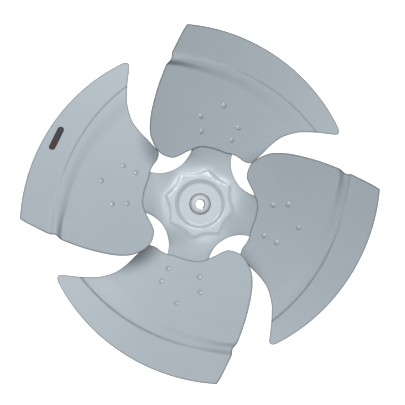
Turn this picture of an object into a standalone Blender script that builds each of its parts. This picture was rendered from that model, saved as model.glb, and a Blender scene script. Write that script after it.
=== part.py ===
"""Four-blade axial fan: stamped blades riveted to a spider with a keyed hub.

Run in Blender 4.5, from the text editor or with blender --background --python part.py.
Units are metres and +Z is the shaft axis, pointing to the side that the air leaves from.
The fan lies on the leading tips of its blades, with the shaft axis through X = Y = 0.
"""
import math

import bmesh
import bpy
import numpy as np
from mathutils import Matrix, Vector
from mathutils.geometry import delaunay_2d_cdt

# Whole fan
BLADE_COUNT = 4
TIP_RADIUS = 0.2794
FIRST_BLADE_ANGLE = 63.0
CLEARANCE = 0.0003
SMALLEST_TRIANGLE = 1e-9
NORMAL_STEP = 0.0002
OUTLINE_STEPS = 2
SHEET_SHARP_ANGLE = 50.0
TURNED_SHARP_ANGLE = 35.0

# Blade sheet. X runs along the blade's middle line and Y towards its trailing side.
BLADE_THICKNESS = 0.0015
PITCH_SLOPE = 0.394
CAMBER = 0.906
RAKE_SLOPE = 0.12
TIP_LEADING_ANGLE = -34.2
TIP_TRAILING_ANGLE = 31.6
TIP_STEPS = 22

# Spacing of the sheet's points
BLADE_INNER_ROWS = (0.104, 0.119, 0.134, 0.150, 0.166, 0.181)
BLADE_OUTER_ROWS = (0.2475, 0.2570, 0.2675)
BLADE_ROW_START = -38.0
BLADE_ROW_END = 66.0
BLADE_ROW_STEP = 4.0
BLADE_EDGE_CLEARANCE = 0.0030

# Edges of the blade as radius and angle from its middle line, from the root outwards
LEADING_EDGE = [
    (0.1170, -24.9), (0.1300, -24.5), (0.1434, -24.1), (0.1609, -23.5), (0.1793, -23.7),
    (0.1941, -24.8), (0.2146, -27.2), (0.2294, -29.7), (0.2440, -32.1), (0.2604, -34.8),
    (0.2700, -36.1), (0.2742, -36.2), (0.2778, -35.5), (0.2794, -34.2),
]
TRAILING_EDGE = [
    (0.0974, 63.4), (0.1054, 65.5), (0.1179, 65.8), (0.1365, 63.6), (0.1517, 59.8),
    (0.1693, 54.7), (0.1932, 48.3), (0.2117, 44.0), (0.2244, 41.3), (0.2412, 38.0),
    (0.2677, 33.6), (0.2782, 31.9), (0.2794, 31.6),
]
# Edge of the blade that faces the shaft, from the leading corner to the trailing lobe
ROOT_EDGE = [
    (0.1170, -24.9), (0.1115, -23.6), (0.1058, -18.8), (0.1041, -12.5), (0.1013, -5.5),
    (0.0980, -1.0), (0.0966, 6.5), (0.0964, 13.8), (0.0962, 22.0), (0.0952, 29.0),
    (0.0922, 35.3), (0.0895, 43.0), (0.0875, 50.5), (0.0892, 58.0), (0.0974, 63.4),
]

# Stiffening bead pressed into the blade, raised towards +Z. Its outer wall is steep from end to
# end. The inner wall is steep at the trailing side and thins out towards the leading side.
BEAD_RADIUS = 0.2282
BEAD_NEAREST_ANGLE = 10.0
BEAD_SWEEP = 0.0000070
BEAD_HEIGHT = 0.0026
BEAD_OUTER_WALL = 0.0050
BEAD_CREST = 0.0052
BEAD_INNER_WALL = (0.0070, 0.0360)
BEAD_START_ANGLE = 40.0
BEAD_END_ANGLE = -32.0

# The bead stands higher and wider where it runs out over the trailing edge
FLARE_REACH = 9.0
FLARE_HEIGHT = 0.0049
FLARE_SHIFT = 0.0028
FLARE_OUTER_WALL = 0.0045
FLARE_CREST = -0.0045

# Spider: a dished sheet with four arms behind the blades
SPIDER_THICKNESS = 0.0028
ARM_DROP = 0.5 * BLADE_THICKNESS + CLEARANCE + 0.5 * SPIDER_THICKNESS
ARM_ANGLE = 13.7
SCALLOP_CENTRE_RADIUS = 0.1318
SCALLOP_RADIUS = 0.0590
SCALLOP_END_ANGLE = 292.0
SCALLOP_STEPS = 8
# Rest of the arm's side, from the scallop's end to the middle of the arm's end
ARM_SIDE = [(0.128, 0.0432), (0.136, 0.0448), (0.148, 0.0422), (0.166, 0.0300), (0.181, 0.0170),
            (0.187, 0.0)]
SPIDER_HOLE_RADIUS = 0.0171
SPIDER_HOLE_SIDES = 32
DISC_RADIUS = 0.0344
DISC_HEIGHT = -0.0188
CROWN_INNER_RADIUS = 0.0442
CROWN_HEIGHT = -0.0157
CROWN_SLOPE = 0.045
STAR_RADIUS = 0.0464
STAR_WIDTH = 0.0088
STAR_DROP = 0.0011
STAR_REACH = 0.0085
STAR_POINTS_EACH_ARM = 2
ARM_BLEND_START = 0.0480
ARM_BLEND_END = 0.0975
ARM_BLEND_ANGLE = 10.0
SEAM_RADIUS = SCALLOP_CENTRE_RADIUS - SCALLOP_RADIUS

# Rings of points in the spider's sheet: distances from the shaft, number in a ring, stagger
SPIDER_RINGS = [
    ((0.0210, 0.0280, 0.0340, 0.0368, 0.0393, 0.0418, 0.0445), 32, 0.0),
    ((0.0480, 0.0515, 0.0550, 0.0585, 0.0620, 0.0665), 48, 0.0),
    ((0.0730, 0.0820, 0.0920, 0.1030, 0.1150, 0.1300, 0.1450, 0.1600, 0.1740), 48, 0.5),
]
SPIDER_EDGE_CLEARANCE = 0.0030

# Rivets, as distance from the shaft and angle from the arm's own axis
RIVET_PLACES = [(0.1689, 0.0), (0.1455, 13.2), (0.1455, -13.2), (0.1215, 12.7), (0.1215, -12.7)]
RIVET_HOLE_RADIUS = 0.0027
RIVET_SHANK_RADIUS = 0.0024
RIVET_HEAD_RADIUS = 0.0047
RIVET_HEAD_HEIGHT = 0.0023
RIVET_HEAD_ANGLES = (60.0, 30.0)
RIVET_TAIL_RADIUS = 0.0037
RIVET_TAIL_END_RADIUS = 0.0031
RIVET_TAIL_HEIGHT = 0.0022
RIVET_SIDES = 12

# Hub, turned from steel, with a keyway and two set screws
BORE_RADIUS = 0.00794
HUB_RADIUS = 0.0168
HUB_FRONT_STANDOUT = 0.0055
HUB_FLANGE_RADIUS = 0.0250
HUB_FLANGE_THICKNESS = 0.0045
HUB_BARREL_RADIUS = 0.0175
HUB_BACK_HEIGHT = -0.0450
HUB_CHAMFER = 0.0008
HUB_FRONT_CHAMFER = (0.0024, 0.0036)
HUB_SIDES = 48
KEYWAY_WIDTH = 0.00476
KEYWAY_REACH = 0.0106
KEYWAY_ANGLE = -66.0
SET_SCREW_HEIGHT = -0.0360
SET_SCREW_RADIUS = 0.0030
SET_SCREW_LENGTH = 0.0058
SET_SCREW_RECESS = 0.0004
SET_SCREW_SOCKET_RADIUS = 0.0017
SET_SCREW_SOCKET_DEPTH = 0.0025
SET_SCREW_CHAMFERS = (0.0003, 0.0006)
SCREW_SIDES = 16

# Rating label on one blade, bare
LABEL_BLADE = 1
LABEL_RADIUS = 0.2612
LABEL_ANGLE = 2.5
LABEL_LENGTH = 0.0420
LABEL_WIDTH = 0.0102
LABEL_THICKNESS = 0.0004
LABEL_TURN = 94.0
LABEL_END_STEPS = 8
LABEL_SIDE_STEPS = 6


def clear_scene():
    for item in list(bpy.data.objects):
        bpy.data.objects.remove(item, do_unlink=True)


def paint_material(name, colour, roughness, metallic):
    material = bpy.data.materials.new(name)
    material.use_nodes = True
    shader = material.node_tree.nodes["Principled BSDF"]
    shader.inputs["Base Color"].default_value = (*colour, 1.0)
    shader.inputs["Roughness"].default_value = roughness
    shader.inputs["Metallic"].default_value = metallic
    return material


def grey_paint():
    return paint_material("grey_paint", (0.400, 0.455, 0.510), 0.42, 0.0)


def hub_paint():
    return paint_material("hub_paint", (0.420, 0.470, 0.520), 0.45, 0.0)


def screw_steel():
    return paint_material("screw_steel", (0.060, 0.060, 0.065), 0.45, 1.0)


def label_film():
    return paint_material("label_film", (0.030, 0.020, 0.022), 0.35, 0.0)


def ease(value):
    """Smooth step from 0 to 1."""
    value = min(max(value, 0.0), 1.0)
    return value * value * (3.0 - 2.0 * value)


def polar(radius, degrees):
    angle = math.radians(degrees)
    return Vector((radius * math.cos(angle), radius * math.sin(angle)))


def smooth_line(points, steps):
    """Catmull-Rom curve through the points, each span cut into equal steps."""
    knots = [2.0 * np.array(points[0]) - np.array(points[1])]
    knots += [np.array(point) for point in points]
    knots += [2.0 * np.array(points[-1]) - np.array(points[-2])]
    line = []
    for k in range(1, len(knots) - 2):
        before, start, end, after = knots[k - 1:k + 3]
        for step in range(steps):
            f = step / steps
            line.append(0.5 * (2.0 * start + (end - before) * f
                               + (2.0 * before - 5.0 * start + 4.0 * end - after) * f ** 2
                               + (3.0 * start - before - 3.0 * end + after) * f ** 3))
    line.append(np.array(points[-1]))
    return line


def polar_points(edge):
    """Plan points along an edge that is given as radius and angle."""
    corners = [tuple(polar(radius, degrees)) for radius, degrees in edge]
    return [Vector(point) for point in smooth_line(corners, OUTLINE_STEPS)]


def blade_height(x, y):
    """Height of the pressed sheet's middle, without its bead, in the blade's own frame."""
    return PITCH_SLOPE * y + CAMBER * y * y + RAKE_SLOPE * (x - TIP_RADIUS)


def blade_normal(x, y):
    slope = PITCH_SLOPE + 2.0 * CAMBER * y
    return Vector((-RAKE_SLOPE, -slope, 1.0)).normalized()


def bead_flare(degrees):
    """How much of the bead's run-out there is: 1 at the trailing end, falling off quickly."""
    return math.exp(-((BEAD_START_ANGLE - degrees) / FLARE_REACH) ** 2)


def bead_radius(degrees):
    """Distance from the shaft to the middle of the bead's outer wall."""
    sweep = BEAD_SWEEP * (degrees - BEAD_NEAREST_ANGLE) ** 2
    return BEAD_RADIUS + sweep + FLARE_SHIFT * bead_flare(degrees)


def bead_edges(degrees):
    """Offsets from the bead's radius to the outer foot, the two crest edges and the inner foot."""
    flare = bead_flare(degrees)
    along = (BEAD_START_ANGLE - degrees) / (BEAD_START_ANGLE - BEAD_END_ANGLE)
    along = min(max(along, 0.0), 1.0)
    outer_foot = 0.5 * (BEAD_OUTER_WALL + FLARE_OUTER_WALL * flare)
    crest = BEAD_CREST + FLARE_CREST * flare
    steep, thin = BEAD_INNER_WALL
    inner_foot = -outer_foot - crest - steep - (thin - steep) * along ** 1.5
    return outer_foot, -outer_foot, -outer_foot - crest, inner_foot


def bead_height(x, y):
    """How far the bead lifts the sheet along its normal."""
    degrees = math.degrees(math.atan2(y, x))
    offset = math.hypot(x, y) - bead_radius(degrees)
    outer_foot, outer_crest, inner_crest, inner_foot = bead_edges(degrees)
    fall = ease((outer_foot - offset) / (outer_foot - outer_crest))
    rise = ease((offset - inner_foot) / (inner_crest - inner_foot))
    return (BEAD_HEIGHT + FLARE_HEIGHT * bead_flare(degrees)) * rise * fall


def blade_middle(x, y):
    sheet = Vector((x, y, blade_height(x, y)))
    return sheet + bead_height(x, y) * blade_normal(x, y)


def sheet_normal(middle, x, y):
    """Normal of a sheet's middle surface from small steps in plan."""
    across = middle(x + NORMAL_STEP, y) - middle(x - NORMAL_STEP, y)
    along = middle(x, y + NORMAL_STEP) - middle(x, y - NORMAL_STEP)
    return across.cross(along).normalized()


def inside(point, loops):
    """Even-odd test of a plan point against all loops together."""
    x, y = point
    within = False
    for loop in loops:
        for k, start in enumerate(loop):
            end = loop[(k + 1) % len(loop)]
            if (start[1] > y) != (end[1] > y):
                cross = start[0] + (y - start[1]) * (end[0] - start[0]) / (end[1] - start[1])
                if x < cross:
                    within = not within
    return within


def clear_of_edges(point, loops, distance):
    for loop in loops:
        for k, start in enumerate(loop):
            end = loop[(k + 1) % len(loop)]
            span = end - start
            share = min(max((point - start).dot(span) / span.length_squared, 0.0), 1.0)
            if (point - start - share * span).length < distance:
                return False
    return True


def triangulate(loops, fill_points):
    """Plan triangles inside the first loop and outside the others."""
    points = []
    edges = []
    for loop in loops:
        first = len(points)
        points += loop
        edges += [(first + k, first + (k + 1) % len(loop)) for k in range(len(loop))]
    points += fill_points
    points, _, faces, _, _, _ = delaunay_2d_cdt(points, edges, [], 0, 1e-7)
    kept = []
    for face in faces:
        a, b, c = (points[k] for k in face)
        if (b - a).cross(c - a) > SMALLEST_TRIANGLE and inside((a + b + c) / 3.0, loops):
            kept.append(list(face))
    return points, kept


def sheet_mesh(name, loops, fill_points, middle, thickness):
    """Closed sheet of even thickness over a plan outline with holes."""
    points, faces = triangulate(loops, fill_points)
    used = sorted({k for face in faces for k in face})
    place = {old: new for new, old in enumerate(used)}
    faces = [[place[k] for k in face] for face in faces]
    count = len(used)
    front = []
    back = []
    for old in used:
        x, y = points[old]
        centre = middle(x, y)
        offset = 0.5 * thickness * sheet_normal(middle, x, y)
        front.append(centre + offset)
        back.append(centre - offset)
    directed = {(face[k], face[(k + 1) % 3]) for face in faces for k in range(3)}
    rim = [(a, b) for a, b in sorted(directed) if (b, a) not in directed]
    solid = list(faces)
    solid += [[count + k for k in reversed(face)] for face in faces]
    solid += [[b, a, count + a, count + b] for a, b in rim]
    mesh = bpy.data.meshes.new(name)
    mesh.from_pydata(front + back, [], solid)
    return shaded(mesh, SHEET_SHARP_ANGLE)


def shaded(mesh, sharp_angle):
    mesh.shade_smooth()
    mesh.set_sharp_from_angle(angle=math.radians(sharp_angle))
    return mesh


def circle_loop(centre, radius, sides):
    return [centre + polar(radius, 360.0 * k / sides) for k in range(sides)]


def arm_rivets():
    """Rivet places in the blade's own frame."""
    return [polar(radius, ARM_ANGLE + degrees) for radius, degrees in RIVET_PLACES]


def blade_outline():
    leading = polar_points(LEADING_EDGE)
    trailing = polar_points(TRAILING_EDGE)
    root = polar_points(ROOT_EDGE)
    tip = []
    for k in range(1, TIP_STEPS):
        share = k / TIP_STEPS
        degrees = TIP_LEADING_ANGLE + (TIP_TRAILING_ANGLE - TIP_LEADING_ANGLE) * share
        tip.append(polar(TIP_RADIUS, degrees))
    return leading + tip + trailing[:0:-1] + root[:0:-1]


def blade_rows(degrees):
    """Distances from the shaft at which the blade's sheet gets points, at one angle."""
    outer_foot, outer_crest, inner_crest, inner_foot = bead_edges(degrees)
    middle = bead_radius(degrees)
    inner_middle = 0.5 * (inner_crest + inner_foot)
    offsets = (inner_foot, inner_middle, inner_crest, outer_crest, 0.0, outer_foot)
    return list(BLADE_INNER_ROWS) + [middle + offset for offset in offsets] + list(BLADE_OUTER_ROWS)


def blade_fill_points(loops):
    """Points in rows about the shaft, with close rows that follow the bead."""
    points = []
    degrees = BLADE_ROW_START
    while degrees < BLADE_ROW_END:
        for row, radius in enumerate(blade_rows(degrees)):
            point = polar(radius, degrees + 0.5 * BLADE_ROW_STEP * (row % 2))
            if inside(point, loops) and clear_of_edges(point, loops, BLADE_EDGE_CLEARANCE):
                points.append(point)
        degrees += BLADE_ROW_STEP
    return points


def blade_mesh():
    holes = [circle_loop(place, RIVET_HOLE_RADIUS, RIVET_SIDES) for place in arm_rivets()]
    loops = [blade_outline()] + holes
    fill = blade_fill_points(loops)
    return sheet_mesh("blade", loops, fill, blade_middle, BLADE_THICKNESS)


def blade_turn(index):
    return math.radians(FIRST_BLADE_ANGLE + index * 360.0 / BLADE_COUNT)


def to_blade_frame(x, y):
    """Turns a plan point into the frame of the blade whose arm is nearest."""
    pitch = 360.0 / BLADE_COUNT
    degrees = math.degrees(math.atan2(y, x)) - FIRST_BLADE_ANGLE - ARM_ANGLE
    from_arm = (degrees + 0.5 * pitch) % pitch - 0.5 * pitch
    return polar(math.hypot(x, y), from_arm + ARM_ANGLE), from_arm


def crown_height(radius, from_arm):
    """Sunk disc at the hub and a raised, slightly coned crown with a star-shaped step outside."""
    wall = ease((radius - DISC_RADIUS) / (CROWN_INNER_RADIUS - DISC_RADIUS))
    turn = 0.5 * math.radians(from_arm) * BLADE_COUNT * STAR_POINTS_EACH_ARM
    start = STAR_RADIUS + STAR_REACH * (1.0 - abs(math.sin(turn)))
    fall = STAR_DROP * ease((radius - start) / STAR_WIDTH)
    fall += CROWN_SLOPE * max(radius - CROWN_INNER_RADIUS, 0.0)
    return DISC_HEIGHT + (CROWN_HEIGHT - DISC_HEIGHT) * wall - fall


def arm_height(place):
    """Middle of the arm's sheet, flat against the back of its blade."""
    return blade_height(*place) - ARM_DROP / blade_normal(*place).z


def spider_middle(x, y):
    radius = math.hypot(x, y)
    place, from_arm = to_blade_frame(x, y)
    outward = ease((radius - ARM_BLEND_START) / (ARM_BLEND_END - ARM_BLEND_START))
    seam = 180.0 / BLADE_COUNT
    sideways = ease((seam - abs(from_arm)) / (seam - ARM_BLEND_ANGLE))
    past_seam = ease((radius - SEAM_RADIUS) / (ARM_BLEND_END - SEAM_RADIUS))
    share = outward * (sideways + (1.0 - sideways) * past_seam)
    crown = crown_height(radius, from_arm)
    return Vector((x, y, crown + (arm_height(place) - crown) * share))


def arm_side():
    """One side of an arm from the scallop's bottom to the middle of its end, axis along X."""
    seam = 180.0 / BLADE_COUNT
    centre = polar(SCALLOP_CENTRE_RADIUS, seam)
    start = 180.0 + seam
    points = []
    for k in range(SCALLOP_STEPS + 1):
        degrees = start + (SCALLOP_END_ANGLE - start) * k / SCALLOP_STEPS
        points.append(centre + polar(SCALLOP_RADIUS, degrees))
    rest = smooth_line([tuple(points[-1])] + ARM_SIDE, OUTLINE_STEPS)
    return points[:-1] + [Vector(point) for point in rest]


def spider_outline():
    side = arm_side()
    mirrored = [Vector((point.x, -point.y)) for point in side]
    arm = mirrored[:-1] + side[:0:-1]
    outline = []
    for index in range(BLADE_COUNT):
        turn = Matrix.Rotation(blade_turn(index) + math.radians(ARM_ANGLE), 2)
        outline += [turn @ point for point in arm]
    return outline


def spider_fill_points(loops):
    """Points in rings about the shaft, in line with the crown's star."""
    points = []
    for rings, sides, stagger in SPIDER_RINGS:
        for ring, radius in enumerate(rings):
            for k in range(sides):
                share = (k + stagger * (ring % 2)) / sides
                point = polar(radius, 360.0 * share + FIRST_BLADE_ANGLE + ARM_ANGLE)
                if inside(point, loops) and clear_of_edges(point, loops, SPIDER_EDGE_CLEARANCE):
                    points.append(point)
    return points


def spider_mesh():
    loops = [spider_outline(), circle_loop(Vector((0.0, 0.0)), SPIDER_HOLE_RADIUS, SPIDER_HOLE_SIDES)]
    for index in range(BLADE_COUNT):
        turn = Matrix.Rotation(blade_turn(index), 2)
        for place in arm_rivets():
            behind = place - ARM_DROP * blade_normal(*place).xy
            loops.append(circle_loop(turn @ behind, RIVET_HOLE_RADIUS, RIVET_SIDES))
    fill = spider_fill_points(loops)
    return sheet_mesh("spider", loops, fill, spider_middle, SPIDER_THICKNESS)


def turned_mesh(name, profile, sides):
    """Solid of revolution about Z. The profile runs down the outer side and closes on itself."""
    shape = bmesh.new()
    ring = [shape.verts.new((radius, 0.0, height)) for radius, height in profile]
    edges = [shape.edges.new((ring[k], ring[(k + 1) % len(ring)])) for k in range(len(ring))]
    bmesh.ops.spin(shape, geom=ring + edges, cent=(0, 0, 0), axis=(0, 0, 1),
                   angle=2.0 * math.pi, steps=sides, use_merge=True)
    bmesh.ops.remove_doubles(shape, verts=shape.verts, dist=1e-6)
    bmesh.ops.dissolve_degenerate(shape, edges=shape.edges, dist=1e-7)
    bmesh.ops.recalc_face_normals(shape, faces=shape.faces)
    mesh = bpy.data.meshes.new(name)
    shape.to_mesh(mesh)
    shape.free()
    return shaded(mesh, TURNED_SHARP_ANGLE)


def rivet_mesh():
    """Round head in front of the blade and a flat tail behind the arm."""
    seat = 0.5 * BLADE_THICKNESS + CLEARANCE
    tail_seat = -0.5 * BLADE_THICKNESS - SPIDER_THICKNESS - 2.0 * CLEARANCE
    profile = [(0.0, seat + RIVET_HEAD_HEIGHT)]
    for degrees in RIVET_HEAD_ANGLES:
        angle = math.radians(degrees)
        profile.append((RIVET_HEAD_RADIUS * math.cos(angle), seat + RIVET_HEAD_HEIGHT * math.sin(angle)))
    tail_end = tail_seat - RIVET_TAIL_HEIGHT
    profile += [(RIVET_HEAD_RADIUS, seat), (RIVET_SHANK_RADIUS, seat)]
    profile += [(RIVET_SHANK_RADIUS, tail_seat), (RIVET_TAIL_RADIUS, tail_seat)]
    profile += [(RIVET_TAIL_END_RADIUS, tail_end), (0.0, tail_end)]
    return turned_mesh("rivet", profile, RIVET_SIDES)


def hub_profile():
    front = DISC_HEIGHT + 0.5 * SPIDER_THICKNESS + HUB_FRONT_STANDOUT
    flange = DISC_HEIGHT - 0.5 * SPIDER_THICKNESS - CLEARANCE
    barrel = flange - HUB_FLANGE_THICKNESS
    return [
        (BORE_RADIUS + HUB_CHAMFER, front), (HUB_RADIUS - HUB_FRONT_CHAMFER[0], front),
        (HUB_RADIUS, front - HUB_FRONT_CHAMFER[1]), (HUB_RADIUS, flange),
        (HUB_FLANGE_RADIUS, flange), (HUB_FLANGE_RADIUS, barrel),
        (HUB_BARREL_RADIUS, barrel), (HUB_BARREL_RADIUS, HUB_BACK_HEIGHT + HUB_CHAMFER),
        (HUB_BARREL_RADIUS - HUB_CHAMFER, HUB_BACK_HEIGHT), (BORE_RADIUS + HUB_CHAMFER, HUB_BACK_HEIGHT),
        (BORE_RADIUS, HUB_BACK_HEIGHT + HUB_CHAMFER), (BORE_RADIUS, front - HUB_CHAMFER),
    ]


def add_object(name, mesh, material, lift, parent=None):
    item = bpy.data.objects.new(name, mesh)
    bpy.context.collection.objects.link(item)
    item.location.z = lift
    if not mesh.materials:
        mesh.materials.append(material)
    if parent:
        item.parent = parent
    return item


def add_cutter(name, mesh, lift):
    cutter = bpy.data.objects.new(name, mesh)
    bpy.context.collection.objects.link(cutter)
    cutter.location.z = lift
    cutter.hide_render = True
    cutter.display_type = 'WIRE'
    return cutter


def cut(target, cutter):
    modifier = target.modifiers.new(cutter.name, 'BOOLEAN')
    modifier.operation = 'DIFFERENCE'
    modifier.solver = 'EXACT'
    modifier.object = cutter


def keyway_cutter(lift):
    length = 2.0 * abs(HUB_BACK_HEIGHT)
    mesh = bpy.data.meshes.new("keyway")
    shape = bmesh.new()
    reach = KEYWAY_REACH - 0.5 * BORE_RADIUS
    middle = 0.5 * (KEYWAY_REACH + 0.5 * BORE_RADIUS)
    placed = Matrix.Rotation(math.radians(KEYWAY_ANGLE), 4, 'Z')
    placed = placed @ Matrix.Translation((middle, 0.0, 0.5 * HUB_BACK_HEIGHT))
    placed = placed @ Matrix.Diagonal((reach, KEYWAY_WIDTH, length, 1.0))
    bmesh.ops.create_cube(shape, size=1.0, matrix=placed)
    shape.to_mesh(mesh)
    shape.free()
    return add_cutter("keyway_cutter", mesh, lift)


def across_barrel(degrees, distance):
    """Matrix that lays a Z cylinder along a radius of the hub at set-screw height."""
    turn = Matrix.Rotation(math.radians(degrees), 4, 'Z')
    out = Matrix.Translation((distance, 0.0, SET_SCREW_HEIGHT))
    return turn @ out @ Matrix.Rotation(math.radians(90.0), 4, 'Y')


def screw_hole_cutter(degrees, lift, name):
    mesh = bpy.data.meshes.new(name)
    shape = bmesh.new()
    inner_end = 0.5 * BORE_RADIUS
    placed = across_barrel(degrees, 0.5 * (inner_end + HUB_FLANGE_RADIUS))
    radius = SET_SCREW_RADIUS + CLEARANCE
    bmesh.ops.create_cone(shape, cap_ends=True, segments=SCREW_SIDES, radius1=radius, radius2=radius,
                          depth=HUB_FLANGE_RADIUS - inner_end, matrix=placed)
    shape.to_mesh(mesh)
    shape.free()
    return add_cutter(name, mesh, lift)


def make_hub(lift):
    hub = add_object("hub", turned_mesh("hub", hub_profile(), HUB_SIDES), hub_paint(), lift)
    cut(hub, keyway_cutter(lift))
    for k, degrees in enumerate(screw_angles()):
        cut(hub, screw_hole_cutter(degrees, lift, f"screw_hole_cutter_{k + 1}"))
    return hub


def screw_angles():
    return (KEYWAY_ANGLE, KEYWAY_ANGLE + 90.0)


def set_screw_mesh():
    """Headless screw with a socket in its outer end, which points along +Z."""
    half = 0.5 * SET_SCREW_LENGTH
    outer, inner = SET_SCREW_CHAMFERS
    profile = [
        (SET_SCREW_SOCKET_RADIUS, half), (SET_SCREW_RADIUS - outer, half),
        (SET_SCREW_RADIUS, half - outer), (SET_SCREW_RADIUS, inner - half),
        (SET_SCREW_RADIUS - inner, -half), (0.0, -half),
        (0.0, half - SET_SCREW_SOCKET_DEPTH), (SET_SCREW_SOCKET_RADIUS, half - SET_SCREW_SOCKET_DEPTH),
    ]
    return turned_mesh("set_screw", profile, SCREW_SIDES)


def make_set_screws(lift):
    mesh = set_screw_mesh()
    material = screw_steel()
    for k, degrees in enumerate(screw_angles()):
        screw = add_object(f"set_screw_{k + 1}", mesh, material, lift)
        distance = HUB_BARREL_RADIUS - SET_SCREW_RECESS - 0.5 * SET_SCREW_LENGTH
        screw.matrix_world = Matrix.Translation((0.0, 0.0, lift)) @ across_barrel(degrees, distance)


def make_blades(mesh, lift):
    material = grey_paint()
    for index in range(BLADE_COUNT):
        blade = add_object(f"blade_{index + 1}", mesh, material, lift)
        blade.rotation_euler.z = blade_turn(index)


def make_rivets(lift):
    mesh = rivet_mesh()
    material = paint_material("rivet_paint", (0.400, 0.455, 0.510), 0.40, 0.0)
    for index in range(BLADE_COUNT):
        turn = Matrix.Rotation(blade_turn(index), 4, 'Z')
        for k, place in enumerate(arm_rivets()):
            rivet = add_object(f"rivet_{index + 1}_{k + 1}", mesh, material, lift)
            seat = Vector((place.x, place.y, blade_height(*place)))
            tilt = blade_normal(*place).to_track_quat('Z', 'Y').to_matrix().to_4x4()
            raised = Matrix.Translation((0.0, 0.0, lift))
            rivet.matrix_world = raised @ turn @ Matrix.Translation(seat) @ tilt


def label_middle(x, y):
    """Label film lying just in front of the blade's face."""
    rise = 0.5 * BLADE_THICKNESS + CLEARANCE + 0.5 * LABEL_THICKNESS
    return blade_middle(x, y) + rise * blade_normal(x, y)


def label_outline():
    """Capsule across the blade, with extra points on its straight sides to follow the sheet."""
    half_run = 0.5 * (LABEL_LENGTH - LABEL_WIDTH)
    radius = 0.5 * LABEL_WIDTH
    local = []
    for side in (1.0, -1.0):
        end = Vector((side * half_run, 0.0))
        for k in range(LABEL_END_STEPS + 1):
            local.append(end + polar(radius, side * 90.0 + 180.0 * (k / LABEL_END_STEPS - side)))
        for k in range(1, LABEL_SIDE_STEPS):
            local.append(Vector((side * half_run * (1.0 - 2.0 * k / LABEL_SIDE_STEPS), side * radius)))
    turn = Matrix.Rotation(math.radians(LABEL_ANGLE + LABEL_TURN), 2)
    return [polar(LABEL_RADIUS, LABEL_ANGLE) + turn @ point for point in local]


def make_label(lift):
    mesh = sheet_mesh("label", [label_outline()], [], label_middle, LABEL_THICKNESS)
    label = add_object("label_plate", mesh, label_film(), lift)
    label.rotation_euler.z = blade_turn(LABEL_BLADE)


def main():
    clear_scene()
    blades = blade_mesh()
    lift = -min(vertex.co.z for vertex in blades.vertices)
    add_object("spider", spider_mesh(), grey_paint(), lift)
    make_hub(lift)
    make_set_screws(lift)
    make_blades(blades, lift)
    make_rivets(lift)
    make_label(lift)


main()
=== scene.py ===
"""Looks of the four-blade axial fan, laid out as an add-on and run as a script.

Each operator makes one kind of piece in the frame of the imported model. Units are metres, +Z is
the shaft axis, and the fan lies on the leading tips of its blades.
"""

import math

import bmesh
import bpy
import numpy as np
from bpy.props import FloatProperty, FloatVectorProperty, PointerProperty
from bpy.types import Operator, Panel, PropertyGroup
from mathutils import Matrix, Vector
from mathutils.geometry import delaunay_2d_cdt


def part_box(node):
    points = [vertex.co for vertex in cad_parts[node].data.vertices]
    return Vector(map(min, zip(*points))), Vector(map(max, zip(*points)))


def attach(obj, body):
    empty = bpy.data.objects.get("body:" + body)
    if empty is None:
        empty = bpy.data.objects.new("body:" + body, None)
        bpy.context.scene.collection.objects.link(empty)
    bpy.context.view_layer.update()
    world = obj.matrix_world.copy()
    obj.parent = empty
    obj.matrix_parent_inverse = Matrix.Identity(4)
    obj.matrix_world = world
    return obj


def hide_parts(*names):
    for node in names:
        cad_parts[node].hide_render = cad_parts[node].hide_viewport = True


bl_info = {
    "name": "Axial fan looks",
    "version": (1, 0, 0),
    "blender": (4, 5, 0),
    "location": "3D View > Sidebar > Axial Fan",
    "description": "Pressed blades, spider, hub, rivets and label of a painted axial fan",
    "category": "Object",
}

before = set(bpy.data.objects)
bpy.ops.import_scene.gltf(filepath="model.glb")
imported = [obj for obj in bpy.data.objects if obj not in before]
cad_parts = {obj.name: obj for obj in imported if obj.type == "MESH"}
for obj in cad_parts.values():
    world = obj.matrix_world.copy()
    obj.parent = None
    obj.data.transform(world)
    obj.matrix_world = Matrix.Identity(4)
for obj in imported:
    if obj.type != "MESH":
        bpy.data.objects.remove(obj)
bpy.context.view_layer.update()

BLADE_COUNT = 4
BLADE_PITCH = 360.0 / BLADE_COUNT
SHEET_SHARP_ANGLE = 60.0
TURNED_SHARP_ANGLE = 32.0

# Edges of the blade as radius and angle from its middle line, from the root outwards
LEADING_EDGE = [
    (0.1170, -24.9), (0.1300, -24.5), (0.1434, -24.1), (0.1609, -23.5), (0.1793, -23.7),
    (0.1941, -24.8), (0.2146, -27.2), (0.2294, -29.7), (0.2440, -32.1), (0.2604, -34.8),
    (0.2700, -36.1), (0.2742, -36.2), (0.2778, -35.5), (0.2794, -34.2),
]
TRAILING_EDGE = [
    (0.0974, 63.4), (0.1054, 65.5), (0.1179, 65.8), (0.1365, 63.6), (0.1517, 59.8),
    (0.1693, 54.7), (0.1932, 48.3), (0.2117, 44.0), (0.2244, 41.3), (0.2412, 38.0),
    (0.2677, 33.6), (0.2782, 31.9), (0.2794, 31.6),
]
ROOT_EDGE = [
    (0.1170, -24.9), (0.1115, -23.6), (0.1058, -18.8), (0.1041, -12.5), (0.1013, -5.5),
    (0.0980, -1.0), (0.0966, 6.5), (0.0964, 13.8), (0.0962, 22.0), (0.0952, 29.0),
    (0.0922, 35.3), (0.0895, 43.0), (0.0875, 50.5), (0.0892, 58.0), (0.0974, 63.4),
]
TIP_ANGLES = (-34.2, 31.6)
TIP_STEPS = 110
EDGE_STEPS = 8

# Spacing of the points along the sheets' outlines
BLADE_EDGE_SPACING = 0.0014
SPIDER_EDGE_SPACING = 0.0015
LABEL_EDGE_SPACING = 0.0008

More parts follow.
